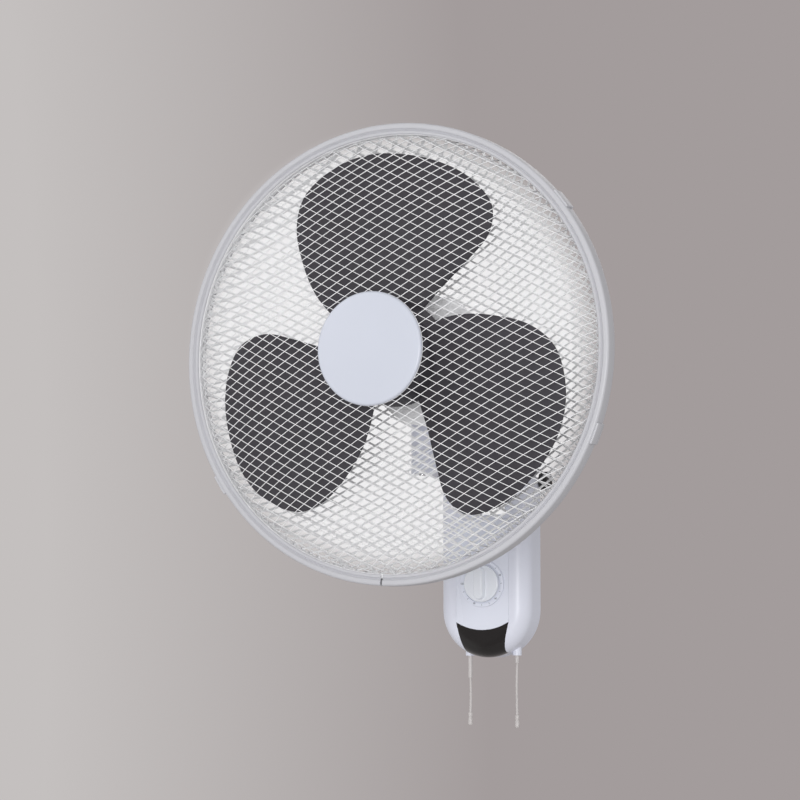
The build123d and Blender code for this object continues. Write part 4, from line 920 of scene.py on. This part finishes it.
# ------------------------------------------------------------------ blade wheel
# Edges of a blade as (radius in millimetres, degrees anticlockwise of its middle).
ROOT = [(47, 57), (47, 34.5), (47, 12), (47, -10.5), (47, -33)]
TRAILING_EDGE = [(47, 57), (85, 50.5), (118, 43.5), (150, 36.5), (172, 28)]
TIP = [(172, 28), (185, 14), (186.5, 0), (181, -19), (168, -34)]
LEADING_EDGE = [(47, -33), (80, -37.5), (110, -40), (144, -40.3), (168, -34)]
POINTS_TO_A_SPAN = 17


def polar(radius, degrees):
    """Point in metres of a radius in millimetres and an angle."""
    turn = math.radians(degrees)
    return Vector((radius * math.cos(turn), radius * math.sin(turn))) * MM


def smooth_side(side, before, after):
    """Function of a share from 0 to 1 that runs smoothly through the points of a side."""
    points = [polar(*point) for point in [*before, *side, *after]]
    lead = len(before)
    line = []
    for i in range(lead, lead + len(side) - 1):
        here, there = points[i], points[i + 1]
        previous = points[i - 1] if i > 0 else 2 * here - there
        following = points[i + 2] if i + 2 < len(points) else 2 * there - here
        pull = (there - here).length / 3
        out = (there - previous).normalized() * pull
        back = (following - here).normalized() * pull
        line += interpolate_bezier(here, here + out, there - back, there, POINTS_TO_A_SPAN)[:-1]
    line.append(points[lead + len(side) - 1])

    def at(share):
        place = share * (len(line) - 1)
        index = min(int(place), len(line) - 2)
        return line[index].lerp(line[index + 1], place - index)

    return at


class WALLFAN_OT_blades(bpy.types.Operator):
    """Builds the blade wheel"""

    bl_idname = "wallfan.blades"
    bl_label = "Blade wheel"

    def execute(self, context):
        sizes = context.scene.wall_fan_blades
        new_piece(self.hub(sizes), "blade_hub", "rotor", "blade_plastic", ["fan_blade"])
        for number in range(sizes.blades):
            turn = math.pi / 2 + FULL_TURN * number / sizes.blades
            piece = new_piece(self.blade(sizes, turn), f"blade_{number + 1}", "rotor",
                              "blade_plastic", ["fan_blade"])
            thicken(piece, sizes.thickness, offset=0)
            rounded = piece.modifiers.new("round", "SUBSURF")
            rounded.levels = 1
            rounded.render_levels = 1
        return {"FINISHED"}

    def blade(self, sizes, turn):
        """Sheet of one blade: a grid drawn to the blade's edge and laid on its screw surface."""
        across, along = 20, 28
        trailing = smooth_side(TRAILING_EDGE, [], TIP[1:2])
        tip = smooth_side(TIP, TRAILING_EDGE[-2:-1], LEADING_EDGE[-2:-1])
        leading = smooth_side(LEADING_EDGE, [], TIP[-2:-1])
        root = smooth_side(ROOT, [], [])
        corners = (root(0), root(1), tip(0), tip(1))
        bm = bmesh.new()
        bmesh.ops.create_grid(bm, x_segments=across, y_segments=along, size=0.5)
        for vert in bm.verts:
            u, v = vert.co.x + 0.5, vert.co.y + 0.5
            sides = (1 - v) * root(u) + v * tip(u) + (1 - u) * trailing(v) + u * leading(v)
            inner = (1 - u) * (1 - v) * corners[0] + u * (1 - v) * corners[1]
            outer = (1 - u) * v * corners[2] + u * v * corners[3]
            place = sides - inner - outer
            angle = math.atan2(place.y, place.x)
            forward = sizes.plane + sizes.rise * angle
            vert.co = FAN + Vector((place.length * math.cos(turn + angle), -forward,
                                    place.length * math.sin(turn + angle)))
        bmesh.ops.recalc_face_normals(bm, faces=bm.faces)
        return bm

    def hub(self, sizes):
        """Hub, hollow behind, with ribs from its boss to its wall."""
        wall = sizes.hub_radius - sizes.hub_wall
        inside = sizes.hub_front - sizes.hub_wall
        corner = rounded_corner(sizes.hub_radius, sizes.hub_front, sizes.hub_round,
                                steps=6)[::-1]
        profile = [(sizes.hub_radius, -sizes.hub_back), *corner, (sizes.bore, sizes.hub_front),
                   (sizes.bore, sizes.boss_back), (sizes.boss, sizes.boss_back),
                   (sizes.boss, inside), (wall, inside), (wall, -sizes.hub_back),
                   (sizes.hub_radius, -sizes.hub_back)]
        hub = spun(profile, steps=96)
        ribs = []
        run = wall - sizes.boss + 2 * sizes.rib_lap
        for number in range(sizes.ribs):
            rib = bmesh.new()
            bmesh.ops.create_cube(rib, size=1)
            bmesh.ops.scale(rib, vec=(run, inside - sizes.boss_back, sizes.rib_thickness),
                            verts=rib.verts)
            middle = Vector((sizes.boss + run / 2 - sizes.rib_lap,
                             -(inside + sizes.boss_back) / 2, 0))
            bmesh.ops.translate(rib, vec=middle, verts=rib.verts)
            bmesh.ops.rotate(rib, cent=(0, 0, 0), verts=rib.verts,
                             matrix=Matrix.Rotation(FULL_TURN * number / sizes.ribs, 3, "Y"))
            bmesh.ops.translate(rib, vec=FAN, verts=rib.verts)
            ribs.append(rib)
        return joined(hub, *ribs)


# ------------------------------------------------------------------ timer figures
FIGURES = ("0", "30", "60", "90", "120")
TICKS_TO_A_FIGURE = 3


class WALLFAN_OT_dial(bpy.types.Operator):
    """Prints plain figures and ticks round the timer knob"""

    bl_idname = "wallfan.dial"
    bl_label = "Timer figures"

    def execute(self, context):
        sizes = context.scene.wall_fan_dial
        centre = Vector((DIAL.x, -sizes.face, DIAL.z))
        spans = len(FIGURES) - 1
        ticks = TICKS_TO_A_FIGURE * spans
        marks = [self.figure(sizes, centre, text, sizes.sweep * number / spans)
                 for number, text in enumerate(FIGURES)]
        marks += [self.tick(sizes, centre, sizes.sweep * number / ticks)
                  for number in range(ticks + 1)]
        piece = new_piece(joined(*marks), "dial_figures", "base", "dial_print")
        piece.data.materials.clear()
        piece.data.materials.append(FINISHES["dial_ink"])
        return {"FINISHED"}

    def laid(self, bm, centre, radius, turn):
        """Lays flat work on the face, at a radius and a clockwise turn from the top."""
        spot = centre + Vector((radius * math.sin(turn), 0, radius * math.cos(turn)))
        bmesh.ops.rotate(bm, cent=(0, 0, 0), verts=bm.verts,
                         matrix=Matrix.Rotation(math.pi / 2, 3, "X"))
        bmesh.ops.translate(bm, vec=spot, verts=bm.verts)

    def figure(self, sizes, centre, text, turn):
        """One upright figure."""
        curve = bpy.data.curves.new("figure", "FONT")
        curve.body = text
        curve.size = sizes.figure_height
        curve.align_x = "CENTER"
        curve.align_y = "CENTER"
        curve.extrude = sizes.ink
        holder = bpy.data.objects.new("figure", curve)
        mesh = bpy.data.meshes.new_from_object(holder)
        bm = bmesh.new()
        bm.from_mesh(mesh)
        bpy.data.objects.remove(holder)
        bpy.data.curves.remove(curve)
        bpy.data.meshes.remove(mesh)
        bmesh.ops.remove_doubles(bm, verts=bm.verts, dist=0.002 * MM)
        self.laid(bm, centre, sizes.figure_circle, turn)
        return bm

    def tick(self, sizes, centre, turn):
        """One radial tick."""
        bm = bmesh.new()
        bmesh.ops.create_cube(bm, size=1)
        long = sizes.tick_outer - sizes.tick_inner
        bmesh.ops.scale(bm, vec=(sizes.tick_width, long, 2 * sizes.ink), verts=bm.verts)
        bmesh.ops.rotate(bm, cent=(0, 0, 0), verts=bm.verts,
                         matrix=Matrix.Rotation(-turn, 3, "Z"))
        self.laid(bm, centre, (sizes.tick_outer + sizes.tick_inner) / 2, turn)
        return bm


# ------------------------------------------------------------------ construction nodes
class WALLFAN_OT_finishes(bpy.types.Operator):
    """Gives every construction node its finish"""

    bl_idname = "wallfan.finishes"
    bl_label = "Finishes"

    def execute(self, context):
        for part in frame["record"]["subparts"]:
            node = frame["nodes"][part["node"]]
            node.data.materials.clear()
            node.data.materials.append(FINISHES[part["material_slot"]])
        return {"FINISHED"}


class WALLFAN_PT_sidebar(bpy.types.Panel):
    """Lists the sizes, the colours and the pieces of the fan"""

    bl_idname = "WALLFAN_PT_sidebar"
    bl_label = "Wall Fan"
    bl_space_type = "VIEW_3D"
    bl_region_type = "UI"
    bl_category = "Wall Fan"

    def draw(self, context):
        column = self.layout.column()
        for operator in OPERATORS:
            column.operator(operator.bl_idname)
        for name, kind in GROUPS.items():
            group = getattr(context.scene, name)
            column.separator()
            for key in kind.__annotations__:
                column.prop(group, key)


GROUPS = {
    "wall_fan_guards": WallFanGuardSizes,
    "wall_fan_blades": WallFanBladeSizes,
    "wall_fan_ring": WallFanRingSizes,
    "wall_fan_cap": WallFanCapSizes,
    "wall_fan_dial": WallFanDialSizes,
    "wall_fan_colours": WallFanColours,
    "wall_fan_stage": WallFanStage,
}
OPERATORS = (WALLFAN_OT_stage, WALLFAN_OT_cords, WALLFAN_OT_guards, WALLFAN_OT_ring,
             WALLFAN_OT_cap, WALLFAN_OT_blades, WALLFAN_OT_dial, WALLFAN_OT_finishes)


def register():
    """Registers the property groups, the operators and the panel."""
    for name, group in GROUPS.items():
        bpy.utils.register_class(group)
        setattr(bpy.types.Scene, name, PointerProperty(type=group))
    for operator in OPERATORS:
        bpy.utils.register_class(operator)
    bpy.utils.register_class(WALLFAN_PT_sidebar)


def unregister():
    """Removes what register adds."""
    bpy.utils.unregister_class(WALLFAN_PT_sidebar)
    for operator in reversed(OPERATORS):
        bpy.utils.unregister_class(operator)
    for name, group in GROUPS.items():
        delattr(bpy.types.Scene, name)
        bpy.utils.unregister_class(group)


def main():
    """Builds every piece."""
    register()
    make_finishes(bpy.context.scene.wall_fan_colours)
    bpy.ops.wallfan.stage()
    bpy.ops.wallfan.cords()
    bpy.ops.wallfan.guards()
    bpy.ops.wallfan.ring()
    bpy.ops.wallfan.cap()
    bpy.ops.wallfan.blades()
    bpy.ops.wallfan.dial()
    bpy.ops.wallfan.finishes()


if __name__ == "__main__":
    main()
